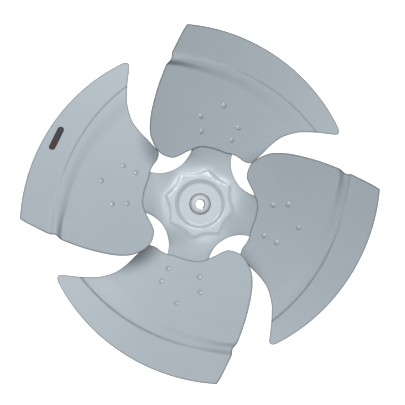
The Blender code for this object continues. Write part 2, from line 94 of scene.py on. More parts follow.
# Rows of points follow a sheet's edge at these distances. A row's point is left out where an edge
# comes nearer than a share of its row's distance, and the other points keep clear of the rows.
EDGE_ROWS = (0.00012, 0.00035, 0.0007, 0.0014, 0.0026)
EDGE_ROW_SHARE = 0.97
EDGE_ROWS_CLEARANCE = 0.0010
# Reach of a sheet's rounded edge, its thinning, and the reach of the mask for painted shade and wear
# along the edge
EDGE_ROUND = 0.0007
EDGE_THINNING = 0.80
RIM_WIDTH = 0.0026

# Step from which a sheet's normals are worked out, and how many plan points are tested at once
NORMAL_STEP = 0.00005
PLAN_CHUNK = 2000
# Smallest values that keep divisions and triangles sound
SMALLEST_LENGTH = 1e-12
SMALLEST_SQUARE = 1e-16
SMALLEST_TRIANGLE = 1e-13
PLAN_TOLERANCE = 1e-8
MERGE_DISTANCE = 1e-6
COLLAPSED_EDGE = 1e-7

# Rows of points across the blade, in degrees from its middle line, and the points in each row
BLADE_ROWS = (-38.0, 67.0, 0.8)
BLADE_ROW_REACH = (0.086, 0.280)
BLADE_ROW_SPACING = 0.0036
BEAD_FOOT_GAP = 0.003
BEAD_WALL_SPACING = 0.0012
BEAD_WALL_POINTS = (5, 8)
BEAD_CREST_POINTS = 5

# Bead in the blade. The widths of its inner wall are at the trailing and at the leading side.
BEAD_RADIUS = 0.2282
BEAD_NEAREST_ANGLE = 10.0
BEAD_SWEEP = 0.0000070
BEAD_OUTER_WALL = 0.0050
BEAD_CREST = 0.0052
BEAD_INNER_WALL = (0.0095, 0.0360)
BEAD_INNER_CURVE = 1.5
BEAD_ANGLES = (40.0, -32.0)
# Painted shade along the bead's outer wall, fading towards the flare between two angles
CREASE_WIDTH = 0.0015
CREASE_SHADE_DEPTH = 0.36
CREASE_START = 24.0
CREASE_FADE = 22.0
# The bead stands higher and wider where it runs out over the trailing edge
FLARE_REACH = 9.0
FLARE_HEIGHT = 0.0049
FLARE_SHIFT = 0.0028
FLARE_OUTER_WALL = 0.0045
FLARE_CREST = -0.0045

# Spider's arms and crown
SCALLOP_CENTRE_RADIUS = 0.1318
SCALLOP_RADIUS = 0.0590
SCALLOP_END_ANGLE = 292.0
SCALLOP_STEPS = 40
ARM_SIDE = [(0.128, 0.0432), (0.136, 0.0448), (0.148, 0.0422), (0.166, 0.0300), (0.181, 0.0170),
            (0.187, 0.0)]
ARM_SIDE_STEPS = 10
SPIDER_HOLE_RADIUS = 0.0171
SPIDER_HOLE_SIDES = 128
DISC_RADIUS = 0.0344
DISC_HEIGHT = -0.0188
CROWN_INNER_RADIUS = 0.0442
CROWN_HEIGHT = -0.0157
CROWN_SLOPE = 0.045
STAR_RADIUS = 0.0464
STAR_WIDTH = 0.0088
STAR_DROP = 0.0011
STAR_POINTS_EACH_ARM = 2
ARM_BLEND_START = 0.0480
ARM_BLEND_END = 0.0975
ARM_BLEND_ANGLE = 10.0
SEAM_RADIUS = SCALLOP_CENTRE_RADIUS - SCALLOP_RADIUS

# Rings of points in the spider's sheet, as first and last radius and the step between rings
CROWN_RINGS = (0.0195, 0.0700, 0.0011)
CROWN_RING_POINTS = 288
ARM_RINGS = (0.0715, 0.1870, 0.0030)

# Rivet places as distance from the shaft and angle from the arm's own axis
RIVET_PLACES = [(0.1689, 0.0), (0.1455, 13.2), (0.1455, -13.2), (0.1215, 12.7), (0.1215, -12.7)]
RIVET_SIDES = 28
RIVET_SEAT_GAP = 0.00002
RIVET_DOME_STEPS = 10
RIVET_DOME_STEP_ANGLE = 8.6
# Radii of the rivet's head at its seat, of its shank and of its tail, as shares of its head
RIVET_SEAT_SHARE = 0.985
RIVET_SHANK_SHARE = 0.5
RIVET_TAIL_SHARE = 0.79
RIVET_TAIL_HEIGHT = 0.0021
RIVET_TAIL_FILLET = 0.0009
RIVET_TAIL_FILLET_DROP = 0.0010
RIVET_TAIL_BEVEL = 0.0003

# Hub. Heights are from the blades' tip plane.
HUB_SIDES = 128
HUB_BACK_HEIGHT = -0.0450
HUB_FLANGE_RADIUS = 0.0250
HUB_FLANGE_THICKNESS = 0.0045
HUB_FLANGE_FILLET = 0.0007
HUB_BARREL_RADIUS = 0.0175
HUB_BARREL_FILLET = 0.0012
HUB_CHAMFER = 0.0009
BOSS_CHAMFER = (0.0024, 0.0036)
BOSS_FRONT_BREAK = (0.0005, 0.0003)
BOSS_SIDE_BREAK = (0.0003, 0.0004)
KEYWAY_WIDTH = 0.00476
KEYWAY_REACH = 0.0106
KEYWAY_ANGLE = -66.0
KEYWAY_CUT_LENGTH = 0.0700
KEYWAY_CUT_HEIGHT = -0.0300

# Headless set screws in the hub's barrel
SET_SCREW_ANGLES = (-66.0, 24.0)
SET_SCREW_HEIGHT = -0.0360
SET_SCREW_RADIUS = 0.0030
SET_SCREW_LENGTH = 0.0058
SET_SCREW_RECESS = 0.0004
SET_SCREW_SOCKET_RADIUS = 0.0017
SET_SCREW_SOCKET_DEPTH = 0.0025
SET_SCREW_CHAMFERS = (0.0003, 0.0006)
SET_SCREW_SIDES = 36
SCREW_HOLE_SIDES = 40
SCREW_HOLE_LENGTH = 0.0210
SCREW_HOLE_MIDDLE = 0.0145

# Capsule label, with its place as distance from the shaft and angle from the blade's middle line
LABEL_BLADE = 2
LABEL_RADIUS = 0.2612
LABEL_ANGLE = 2.5
LABEL_TURN = 94.0
LABEL_THICKNESS = 0.0003
LABEL_RISE = 0.00018
LABEL_END_POINTS = 33
LABEL_GRID = (0.024, 0.006)
LABEL_GRID_SPACING = 0.0009

# Shares of the paint's own colour at its lightest and darkest, in the painted shade along an edge,
# in a speck of dust and in the painted shadow round the foot of the boss
PAINT_LIGHT = 1.045
PAINT_DARK = 0.955
EDGE_SHADE_SHARE = 0.30
SPECK_SHADE = 0.80
SPECK_AMOUNT = 0.25
FOOT_SHADOW_SHARE = 0.25
BARE_METAL = (0.30, 0.31, 0.32)
ROUGHNESS_DRIFT = 0.16
PEEL_DEPTH = 0.00012
# Scales of the paint's unevenness and of the patches in the painted edge shade, and the levels past
# which specks, wear and bare edges show
DRIFT_SCALES = (9.0, 46.0)
SPECK_SCALE = 900.0
SPECK_LEVEL = 0.62
PEEL_SCALE = 520.0
EDGE_PATCH_SCALE = 160.0
WORN_LEVEL = 0.60
BARE_RIM_LEVEL = 0.80

# Finishes of the smaller pieces
RIVET_ROUGHNESS = 0.18
HUB_ROUGHNESS = 0.38
SCREW_ROUGHNESS = 0.42
SCREW_METALLIC = 0.85
SCREW_SHADES = (0.8, 1.3)
SCREW_PEEL_DEPTH = 0.00008
LABEL_ROUGHNESS = 0.55
LABEL_SPECK_SHADE = 1.9
LABEL_SPECK_AMOUNT = 0.6
LABEL_HALVES_SHARPNESS = 14.0
LABEL_BORDER_LEVEL = 0.28
LABEL_BORDER_SHARPNESS = 9.0
LABEL_PEEL_DEPTH = 0.00006
FLOOR_ROUGHNESS = 0.70
FLOOR_SPECULAR = 0.10

# Distances from the shaft over which the spider's paint turns from a glossy crown with painted sheen to
# matt arms
MATT_START = 0.0570
MATT_WIDTH = 0.0130
# How much lighter the crown's paint is than the arms' paint, as a painted sheen
CROWN_SHEEN_GAIN = 1.10
# Distances from the shaft over which the painted shadow at the foot of the boss fades
FOOT_START = 0.0174
FOOT_WIDTH = 0.0018

# Camera's sensor in millimetres, its turn in degrees, and its place off the shaft axis as
# shares of the tip radius
SENSOR_WIDTH = 36.0
CAMERA_PITCH = -0.31
CAMERA_YAW = 2.09
CAMERA_SHIFT = (-0.0125, -0.0092)
LIGHT_DISTANCE = 6.0
FLOOR_HALF_WIDTH = 30.0
FLOOR_GAP = 0.0002


class AxialFanSizes(PropertyGroup):
    tip_radius: FloatProperty(
        name="Tip radius", description="Distance from the shaft to the blades' tips",
        default=0.2794, unit='LENGTH')
    first_blade: FloatProperty(
        name="First blade", description="Angle of the first blade's middle line",
        default=math.radians(63.0), subtype='ANGLE')
    arm_angle: FloatProperty(
        name="Arm angle", description="Angle from a blade's middle line to its arm",
        default=math.radians(13.7), subtype='ANGLE')
    blade_thickness: FloatProperty(
        name="Blade thickness", description="Thickness of the pressed blades",
        default=0.0015, unit='LENGTH')
    pitch_slope: FloatProperty(
        name="Pitch slope", description="Rise of a blade from its leading to its trailing side",
        default=0.394)
    camber: FloatProperty(
        name="Camber", description="Curve of a blade from front to back, per metre",
        default=0.906)
    rake_slope: FloatProperty(
        name="Rake slope", description="Rise of a blade from its root to its tip",
        default=0.12)
    bead_height: FloatProperty(
        name="Bead height", description="Height of the pressed bead over most of its length",
        default=0.0026, unit='LENGTH')
    spider_thickness: FloatProperty(
        name="Spider thickness", description="Thickness of the spider's sheet",
        default=0.0028, unit='LENGTH')
    star_reach: FloatProperty(
        name="Star reach", description="How far the points of the crown's star reach outwards",
        default=0.0085, unit='LENGTH')
    clearance: FloatProperty(
        name="Clearance", description="Gap between pieces that touch in the real fan",
        default=0.0003, unit='LENGTH')
    rivet_head: FloatProperty(
        name="Rivet head", description="Radius of a rivet's round head",
        default=0.0047, unit='LENGTH')
    rivet_rise: FloatProperty(
        name="Rivet rise", description="Height of a rivet's round head",
        default=0.0023, unit='LENGTH')
    bore_radius: FloatProperty(
        name="Bore radius", description="Radius of the hole for the motor shaft",
        default=0.00794, unit='LENGTH')
    hub_radius: FloatProperty(
        name="Boss radius", description="Radius of the hub's boss in front of the spider",
        default=0.0168, unit='LENGTH')
    standout: FloatProperty(
        name="Boss height", description="How far the boss stands out of the spider",
        default=0.0055, unit='LENGTH')
    label_length: FloatProperty(
        name="Label length", description="Length of the capsule label",
        default=0.0420, unit='LENGTH')
    label_width: FloatProperty(
        name="Label width", description="Width of the capsule label",
        default=0.0102, unit='LENGTH')


class AxialFanFinish(PropertyGroup):
    paint: FloatVectorProperty(
        name="Paint", description="Colour of the blue-grey paint",
        default=(0.360, 0.409, 0.450), subtype='COLOR', min=0.0, max=1.0)
    paint_roughness: FloatProperty(
        name="Paint roughness", description="Roughness of the blades' paint",
        default=0.50, min=0.0, max=1.0)
    crown_roughness: FloatProperty(
        name="Crown roughness", description="Roughness of the paint on the spider's crown",
        default=0.20, min=0.0, max=1.0)
    arm_roughness: FloatProperty(
        name="Arm roughness", description="Roughness of the paint on the spider's arms",
        default=0.60, min=0.0, max=1.0)
    # Amount of painted shadow of the boss on the spider round its foot
    foot_shadow: FloatProperty(
        name="Foot grime", description="Amount of grime on the spider at the foot of the boss",
        default=0.80, min=0.0, max=1.0)
    hub_metal: FloatVectorProperty(
        name="Hub", description="Colour of the hub's thin paint",
        default=(0.42, 0.46, 0.50), subtype='COLOR', min=0.0, max=1.0)
    screw_metal: FloatVectorProperty(
        name="Set screws", description="Colour of the black oxide screws",
        default=(0.045, 0.045, 0.050), subtype='COLOR', min=0.0, max=1.0)
    label_dark: FloatVectorProperty(
        name="Label upper half", description="Dark grey half of the label",
        default=(0.022, 0.023, 0.026), subtype='COLOR', min=0.0, max=1.0)
    label_red: FloatVectorProperty(
        name="Label lower half", description="Dark red-brown half of the label",
        default=(0.046, 0.013, 0.012), subtype='COLOR', min=0.0, max=1.0)
    label_border: FloatVectorProperty(
        name="Label border", description="Black border of the label",
        default=(0.003, 0.003, 0.004), subtype='COLOR', min=0.0, max=1.0)


class AxialFanStage(PropertyGroup):
    floor: FloatVectorProperty(
        name="Floor", description="Colour of the plain floor",
        default=(0.50, 0.50, 0.50), subtype='COLOR', min=0.0, max=1.0)
    floor_glow: FloatProperty(
        name="Floor glow", description="Brightness that the camera sees added to the floor",
        default=0.95, min=0.0)
    softbox_power: FloatProperty(
        name="Softbox power", description="Power of each of the two softboxes", default=104.0,
        unit='POWER')
    softbox_azimuth: FloatProperty(
        name="Softbox azimuth", description="Direction midway between the two softboxes",
        default=math.radians(102.0), subtype='ANGLE')
    softbox_tilt: FloatProperty(
        name="Softbox tilt", description="Angle between the shaft axis and each softbox",
        default=math.radians(25.0), subtype='ANGLE')
    softbox_spread: FloatProperty(
        name="Softbox spread", description="Turn from the middle to each of the two softboxes",
        default=math.radians(32.0), subtype='ANGLE')
    softbox_size: FloatProperty(
        name="Softbox size", description="Width of each round softbox", default=2.2,
        unit='LENGTH')
    front_power: FloatProperty(
        name="Front power", description="Power of the wide light near the camera", default=208.0,
        unit='POWER')
    front_azimuth: FloatProperty(
        name="Front azimuth", description="Direction that the wide light leans to",
        default=math.radians(110.0), subtype='ANGLE')
    front_tilt: FloatProperty(
        name="Front tilt", description="Angle between the shaft axis and the wide light",
        default=math.radians(4.0), subtype='ANGLE')
    front_size: FloatProperty(
        name="Front size", description="Width of the wide light", default=5.0, unit='LENGTH')
    sky: FloatProperty(
        name="Sky", description="Strength of the even light from all round", default=0.12, min=0.0)
    camera_distance: FloatProperty(
        name="Camera distance", description="Camera's distance from the blades' tip plane",
        default=0.978, unit='LENGTH')
    lens: FloatProperty(
        name="Lens", description="Focal length for a 36 mm sensor, in millimetres", default=52.12)


def ease(value):
    """Smooth step from 0 to 1."""
    value = np.clip(value, 0.0, 1.0)
    return value * value * (3.0 - 2.0 * value)


def polar(radius, degrees):
    """Plan points from distances and angles."""
    angle = np.radians(degrees)
    return np.stack([radius * np.cos(angle), radius * np.sin(angle)], axis=-1)


def row_turn(angle):
    """Matrix that turns rows of plan points by an angle in radians."""
    return np.array([[math.cos(angle), math.sin(angle)], [-math.sin(angle), math.cos(angle)]])


def smooth_line(points, steps):
    """Catmull-Rom curve through the points, each span cut into equal steps."""
    points = np.asarray(points, float)
    knots = np.vstack([2.0 * points[0] - points[1], points, 2.0 * points[-1] - points[-2]])
    line = []
    for k in range(1, len(knots) - 2):
        before, start, end, after = knots[k - 1:k + 3]
        for step in range(steps):
            f = step / steps
            line.append(0.5 * (2.0 * start + (end - before) * f
                               + (2.0 * before - 5.0 * start + 4.0 * end - after) * f ** 2
                               + (3.0 * start - before - 3.0 * end + after) * f ** 3))
    line.append(points[-1])
    return np.array(line)


def spread(line, spacing):
    """Points at even spacing along a closed line."""
    closed = np.vstack([line, line[:1]])
    lengths = np.linalg.norm(np.diff(closed, axis=0), axis=1)
    run = np.concatenate([[0.0], np.cumsum(lengths)])
    count = int(round(run[-1] / spacing))
    at = np.linspace(0.0, run[-1], count, endpoint=False)
    return np.stack([np.interp(at, run, closed[:, k]) for k in range(2)], axis=-1)


def chunks(points):
    """Indices of the points in lots small enough to test against a loop at once."""
    return np.array_split(np.arange(len(points)), max(1, len(points) // PLAN_CHUNK))


def inside(points, loops):
    """Even-odd test of plan points against all loops together."""
    within = np.zeros(len(points), bool)
    for loop in loops:
        start = loop
        end = np.roll(loop, -1, axis=0)
        for part in chunks(points):
            y = points[part, 1][:, None]
            x = points[part, 0][:, None]
            rise = end[:, 1] - start[:, 1]
            rise = np.where(rise == 0.0, SMALLEST_LENGTH, rise)
            cross = start[:, 0] + (y - start[:, 1]) * (end[:, 0] - start[:, 0]) / rise
            hits = ((start[:, 1] > y) != (end[:, 1] > y)) & (x < cross)
            within[part] ^= (hits.sum(axis=1) % 2).astype(bool)
    return within


def edge_distance(points, loops):
    """Distance of each plan point from the nearest loop."""
    nearest = np.full(len(points), np.inf)
    for loop in loops:
        span = np.roll(loop, -1, axis=0) - loop
        length = np.maximum((span ** 2).sum(axis=1), SMALLEST_SQUARE)
        for part in chunks(points):
            away = points[part][:, None, :] - loop[None, :, :]
            share = np.clip((away * span).sum(axis=2) / length, 0.0, 1.0)
            gap = np.linalg.norm(away - share[..., None] * span, axis=2).min(axis=1)
            nearest[part] = np.minimum(nearest[part], gap)
    return nearest


def edge_rows(loops):
    """Rows of points just inside each loop."""
    rows = []
    for loop in loops:
        along = np.roll(loop, -1, axis=0) - np.roll(loop, 1, axis=0)
        along /= np.maximum(np.linalg.norm(along, axis=1)[:, None], SMALLEST_LENGTH)
        across = np.stack([-along[:, 1], along[:, 0]], axis=-1)
        for row in EDGE_ROWS:
            for side in (1.0, -1.0):
                moved = loop + side * row * across
                clear = edge_distance(moved, loops) > EDGE_ROW_SHARE * row
                keep = inside(moved, loops) & clear
                rows.append(moved[keep])
    return np.vstack(rows)


def triangulate(loops, fill):
    """Plan points and triangles inside the first loop and outside the others."""
    points = np.vstack(loops + [fill])
    edges = []
    first = 0
    for loop in loops:
        edges += [(first + k, first + (k + 1) % len(loop)) for k in range(len(loop))]
        first += len(loop)
    corners = [Vector(point) for point in points]
    plan, _, faces, _, _, _ = delaunay_2d_cdt(corners, edges, [], 0, PLAN_TOLERANCE)
    plan = np.array([tuple(point) for point in plan])
    faces = np.array([face for face in faces if len(face) == 3])
    a, b, c = (plan[faces[:, k]] for k in range(3))
    area = (b[:, 0] - a[:, 0]) * (c[:, 1] - a[:, 1]) - (b[:, 1] - a[:, 1]) * (c[:, 0] - a[:, 0])
    keep = (area > SMALLEST_TRIANGLE) & inside((a + b + c) / 3.0, loops)
    faces = faces[keep]
    used = np.unique(faces)
    place = np.full(len(plan), -1)
    place[used] = np.arange(len(used))
    return plan[used], place[faces]


def surface_normals(middle, plan):
    """Normals of a middle surface from small steps in plan."""
    across = middle(plan + (NORMAL_STEP, 0.0)) - middle(plan - (NORMAL_STEP, 0.0))
    along = middle(plan + (0.0, NORMAL_STEP)) - middle(plan - (0.0, NORMAL_STEP))
    normal = np.cross(across, along)
    return normal / np.linalg.norm(normal, axis=1)[:, None]


def add_value(mesh, name, values):
    """Attribute with one value at each point of the mesh, for its material to read."""
    layer = mesh.attributes.new(name, 'FLOAT', 'POINT')
    layer.data.foreach_set("value", values.astype(np.float32))


def sheet_mesh(name, loops, fill, middle, thickness, crease_shade=None):
    """Sheet of even thickness with rounded edges.

    Its rim attribute, a mask for painted shade and wear along the edge, is 1 at the edge
    and takes in the painted shade of the crease where there is one.
    """
    fill = fill[inside(fill, loops)]
    fill = fill[edge_distance(fill, loops) > EDGE_ROWS[-1] + EDGE_ROWS_CLEARANCE]
    plan, faces = triangulate(loops, np.vstack([edge_rows(loops), fill]))
    gap = edge_distance(plan, loops)
    short = np.clip(1.0 - gap / EDGE_ROUND, 0.0, 1.0)
    half = 0.5 * thickness * np.sqrt(np.maximum(1.0 - EDGE_THINNING * short ** 2, 0.0))
    centre = middle(plan)
    offset = half[:, None] * surface_normals(middle, plan)
    count = len(plan)
    directed = {(int(f[k]), int(f[(k + 1) % 3])) for f in faces for k in range(3)}
    rim = [(b, a, count + a, count + b) for a, b in directed if (b, a) not in directed]
    solid = faces.tolist() + (faces[:, ::-1] + count).tolist() + sorted(rim)
    mesh = bpy.data.meshes.new(name)
    mesh.from_pydata(np.vstack([centre + offset, centre - offset]).tolist(), [], solid)
    # Edge mask for painted shade and wear, with the painted shade of the crease where there is one
    rim_mask = np.clip(1.0 - gap / RIM_WIDTH, 0.0, 1.0)
    if crease_shade:
        rim_mask = np.maximum(rim_mask, crease_shade(plan))
    add_value(mesh, "rim", np.tile(rim_mask, 2))
    mesh.shade_smooth()
    mesh.set_sharp_from_angle(angle=math.radians(SHEET_SHARP_ANGLE))
    return mesh


def add_piece(name, mesh, nodes, material):
    """Puts a piece on the fan in place of its CAD nodes."""
    mesh.materials.append(material)
    piece = bpy.data.objects.new(name, mesh)
    bpy.context.scene.collection.objects.link(piece)
    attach(piece, "root")
    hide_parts(*nodes)
    return piece


def fan_lift():
    """Height of the blades' tip plane above the floor, from the hub's lower end."""
    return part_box("hub")[0].z - HUB_BACK_HEIGHT


def placed(mesh, index, sizes):
    """Copy of a mesh in the first blade's own frame, turned to one blade and raised."""
    copy = mesh.copy()
    turn = Matrix.Rotation(sizes.first_blade + math.radians(index * BLADE_PITCH), 4, 'Z')
    copy.transform(Matrix.Translation((0.0, 0.0, fan_lift())) @ turn)
    return copy


def blade_height(sizes, plan):
    """Height of the pressed sheet's middle, without its bead, in the blade's own frame."""
    x, y = plan[..., 0], plan[..., 1]
    return sizes.pitch_slope * y + sizes.camber * y ** 2 + sizes.rake_slope * (x - sizes.tip_radius)


def blade_normal(sizes, plan):
    """Unit normal of the pressed sheet without its bead."""
    slope = sizes.pitch_slope + 2.0 * sizes.camber * plan[..., 1]
    normal = np.stack([np.full_like(slope, -sizes.rake_slope), -slope, np.ones_like(slope)], axis=-1)
    return normal / np.linalg.norm(normal, axis=-1)[..., None]


def bead_lines(degrees):
    """Bead's radius, its flare and the offsets of its feet and crest edges."""
    start, end = BEAD_ANGLES
    flare = np.exp(-((start - degrees) / FLARE_REACH) ** 2)
    along = np.clip((start - degrees) / (start - end), 0.0, 1.0)
    radius = BEAD_RADIUS + BEAD_SWEEP * (degrees - BEAD_NEAREST_ANGLE) ** 2 + FLARE_SHIFT * flare
    outer = 0.5 * (BEAD_OUTER_WALL + FLARE_OUTER_WALL * flare)
    crest = BEAD_CREST + FLARE_CREST * flare
    steep, thin = BEAD_INNER_WALL
    inner = outer + crest + steep + (thin - steep) * along ** BEAD_INNER_CURVE
    return radius, flare, outer, outer + crest, inner


def bead_crease_shade(plan):
    """Mask of the painted shade along the bead's outer wall, strongest away from the flare."""
    degrees = np.degrees(np.arctan2(plan[..., 1], plan[..., 0]))
    line = bead_lines(degrees)[0]
    beside = (np.hypot(plan[..., 0], plan[..., 1]) - line) / CREASE_WIDTH
    return CREASE_SHADE_DEPTH * np.exp(-beside ** 2) * ease((CREASE_START - degrees) / CREASE_FADE)


def blade_middle(sizes, plan):
    """Middle surface of the pressed sheet with its bead."""
    degrees = np.degrees(np.arctan2(plan[..., 1], plan[..., 0]))
    radius, flare, outer, crest, inner = bead_lines(degrees)
    offset = np.hypot(plan[..., 0], plan[..., 1]) - radius
    fall = ease((outer - offset) / (2.0 * outer))
    rise = ease((offset + inner) / (inner - crest))
    height = (sizes.bead_height + FLARE_HEIGHT * flare) * rise * fall
    sheet = np.concatenate([plan, blade_height(sizes, plan)[..., None]], axis=-1)
    return sheet + height[..., None] * blade_normal(sizes, plan)


def blade_loop(sizes):
    """Outline of the blade in plan."""
    corners = [polar(np.array([r for r, _ in edge]), np.array([a for _, a in edge]))
               for edge in (LEADING_EDGE, TRAILING_EDGE, ROOT_EDGE)]
    leading, trailing, root = (smooth_line(line, EDGE_STEPS) for line in corners)
    tip = polar(sizes.tip_radius, np.linspace(*TIP_ANGLES, TIP_STEPS))
    line = np.vstack([leading[:-1], tip, trailing[-2::-1], root[-2:0:-1]])
    return spread(line, BLADE_EDGE_SPACING)


def blade_fill():
    """Points in rows about the shaft, with close rows over the bead."""
    first, last = BLADE_ROW_REACH
    fewest, across = BEAD_WALL_POINTS
    rows = []
    for degrees in np.arange(*BLADE_ROWS):
        radius, _, outer, crest, inner = bead_lines(degrees)
        inward = np.arange(first, radius - inner, BLADE_ROW_SPACING)
        down = max(fewest, int((inner - crest) / BEAD_WALL_SPACING))
        wall_in = radius - np.linspace(inner, crest, down)
        wall_out = radius + np.linspace(-outer, outer, across)
        top = np.linspace(radius - crest, radius - outer, BEAD_CREST_POINTS)[1:-1]
        outward = np.arange(radius + outer + BEAD_FOOT_GAP, last, BLADE_ROW_SPACING)
        line = np.concatenate([inward, wall_in, top, wall_out, outward])
        rows.append(polar(line, np.full_like(line, degrees)))
    return np.vstack(rows)


def to_blade_frame(sizes, plan):
    """Plan points turned into the frame of the blade whose arm is nearest."""
    first = math.degrees(sizes.first_blade)
    arm = math.degrees(sizes.arm_angle)
    degrees = np.degrees(np.arctan2(plan[..., 1], plan[..., 0])) - first - arm
    from_arm = (degrees + 0.5 * BLADE_PITCH) % BLADE_PITCH - 0.5 * BLADE_PITCH
    return polar(np.hypot(plan[..., 0], plan[..., 1]), from_arm + arm), from_arm


def spider_middle(sizes, plan):
    """Middle surface of the spider: disc, wall, crown with its star, and arms behind the blades."""
    radius = np.hypot(plan[..., 0], plan[..., 1])
    place, from_arm = to_blade_frame(sizes, plan)
    wall = ease((radius - DISC_RADIUS) / (CROWN_INNER_RADIUS - DISC_RADIUS))
    turn = 0.5 * np.radians(from_arm) * BLADE_COUNT * STAR_POINTS_EACH_ARM
    start = STAR_RADIUS + sizes.star_reach * (1.0 - np.abs(np.sin(turn)))
    fall = STAR_DROP * ease((radius - start) / STAR_WIDTH)
    fall = fall + CROWN_SLOPE * np.maximum(radius - CROWN_INNER_RADIUS, 0.0)
    crown = DISC_HEIGHT + (CROWN_HEIGHT - DISC_HEIGHT) * wall - fall
    drop = 0.5 * sizes.blade_thickness + sizes.clearance + 0.5 * sizes.spider_thickness
    arm = blade_height(sizes, place) - drop / blade_normal(sizes, place)[..., 2]
    outward = ease((radius - ARM_BLEND_START) / (ARM_BLEND_END - ARM_BLEND_START))
    seam = 0.5 * BLADE_PITCH
    sideways = ease((seam - np.abs(from_arm)) / (seam - ARM_BLEND_ANGLE))
    past_seam = ease((radius - SEAM_RADIUS) / (ARM_BLEND_END - SEAM_RADIUS))
    share = outward * (sideways + (1.0 - sideways) * past_seam)
    height = crown + (arm - crown) * share
    return np.concatenate([plan, height[..., None]], axis=-1)


def arm_line():
    """One side of an arm, from the seam between two arms to the middle of the arm's end."""
    seam = 0.5 * BLADE_PITCH
    degrees = np.linspace(180.0 + seam, SCALLOP_END_ANGLE, SCALLOP_STEPS + 1)
    scallop = polar(SCALLOP_CENTRE_RADIUS, seam) + polar(SCALLOP_RADIUS, degrees)
    rest = smooth_line([scallop[-1]] + ARM_SIDE, ARM_SIDE_STEPS)
    return np.vstack([scallop[:-1], rest])


def spider_loop(sizes):
    """Outline of the spider in plan."""
    side = arm_line()
    mirrored = side * (1.0, -1.0)
    arm = np.vstack([mirrored[:-1], side[:0:-1]])
    line = []
    for index in range(BLADE_COUNT):
        turn = sizes.first_blade + sizes.arm_angle + math.radians(index * BLADE_PITCH)
        line.append(arm @ row_turn(turn))
    return spread(np.vstack(line), SPIDER_EDGE_SPACING)


def ring(radius, count):
    """Plan points evenly round a circle."""
    return polar(radius, np.linspace(0.0, 360.0, count, endpoint=False))


def spider_fill():
    """Points in rings about the shaft, close together over the crown."""
    rings = [ring(radius, CROWN_RING_POINTS) for radius in np.arange(*CROWN_RINGS)]
    for radius in np.arange(*ARM_RINGS):
        rings.append(ring(radius, int(2.0 * math.pi * radius / ARM_RINGS[2])))
    return np.vstack(rings)


def smooth_turned(mesh):
    """Smooth shading with the sharp corners of a turned piece kept."""
    mesh.shade_smooth()
    mesh.set_sharp_from_angle(angle=math.radians(TURNED_SHARP_ANGLE))


def finished_mesh(name, shape):
    """Smooth mesh out of a shape that is then freed."""
    mesh = bpy.data.meshes.new(name)
    shape.to_mesh(mesh)
    shape.free()
    smooth_turned(mesh)
    return mesh


def turned_mesh(name, profile, sides):
    """Solid of revolution about Z from a closed profile of radius and height."""
    shape = bmesh.new()
    corners = [shape.verts.new((radius, 0.0, height)) for radius, height in profile]
    edges = [shape.edges.new((a, b)) for a, b in zip(corners, corners[1:] + corners[:1])]
    bmesh.ops.spin(shape, geom=corners + edges, cent=(0, 0, 0), axis=(0, 0, 1),
                   angle=2.0 * math.pi, steps=sides, use_merge=True)
    bmesh.ops.remove_doubles(shape, verts=shape.verts, dist=MERGE_DISTANCE)
    bmesh.ops.dissolve_degenerate(shape, edges=shape.edges, dist=COLLAPSED_EDGE)
    bmesh.ops.recalc_face_normals(shape, faces=shape.faces)
    return finished_mesh(name, shape)


def arc(centre, radius, start, end, steps):
    """Profile points of a small fillet, angles in degrees from the outward direction."""
    points = []
    for k in range(steps + 1):
        angle = math.radians(start + (end - start) * k / steps)
        points.append((centre[0] + radius * math.cos(angle), centre[1] + radius * math.sin(angle)))
    return points


def joined(name, parts):
    """One mesh out of several."""
    shape = bmesh.new()
    for part in parts:
        shape.from_mesh(part)
    return finished_mesh(name, shape)


def node_group(name, inputs, outputs):
    """Shader node group with named sockets, and its two end nodes."""
    group = bpy.data.node_groups.new(name, 'ShaderNodeTree')
    for label, kind, value in inputs:
        socket = group.interface.new_socket(label, in_out='INPUT', socket_type=kind)
        socket.default_value = value
    for label, kind in outputs:
        group.interface.new_socket(label, in_out='OUTPUT', socket_type=kind)
    source = group.nodes.new('NodeGroupInput')
    sink = group.nodes.new('NodeGroupOutput')
    return group, source, sink


def add_math(tree, operation, first, second=None, clamp=False):
    """Result of a sum whose parts are numbers or links."""
    node = tree.nodes.new('ShaderNodeMath')
    node.operation = operation
    node.use_clamp = clamp
    for socket, value in zip(node.inputs, (first, second)):
        if value is None:
            continue
        if isinstance(value, (int, float)):
            socket.default_value = value
        else:
            tree.links.new(value, socket)
    return node.outputs[0]


def past_level(tree, value, level, gain):
    """How far a value is past a level, times a gain and kept between 0 and 1."""
    return add_math(tree, 'MULTIPLY', add_math(tree, 'SUBTRACT', value, level), gain, clamp=True)


def add_noise(tree, vector, scale, detail, roughness):
    """Even noise about one half."""
    node = tree.nodes.new('ShaderNodeTexNoise')
    node.inputs["Scale"].default_value = scale
    node.inputs["Detail"].default_value = detail
    node.inputs["Roughness"].default_value = roughness
    tree.links.new(vector, node.inputs["Vector"])
    return node.outputs["Fac"]


def add_mix(tree, factor, first, second, blend='MIX'):
    """Mix of two colours, each a plain colour or a link."""
    node = tree.nodes.new('ShaderNodeMix')
    node.data_type = 'RGBA'
    node.blend_type = blend
    node.clamp_factor = True
    for label, value in (("Factor", factor), ("A", first), ("B", second)):
        socket = [s for s in node.inputs if s.name == label and s.enabled][0]
        if isinstance(value, float):
            socket.default_value = value
        elif isinstance(value, tuple):
            socket.default_value = (*value, 1.0)
        else:
            tree.links.new(value, socket)
    return [s for s in node.outputs if s.enabled][0]


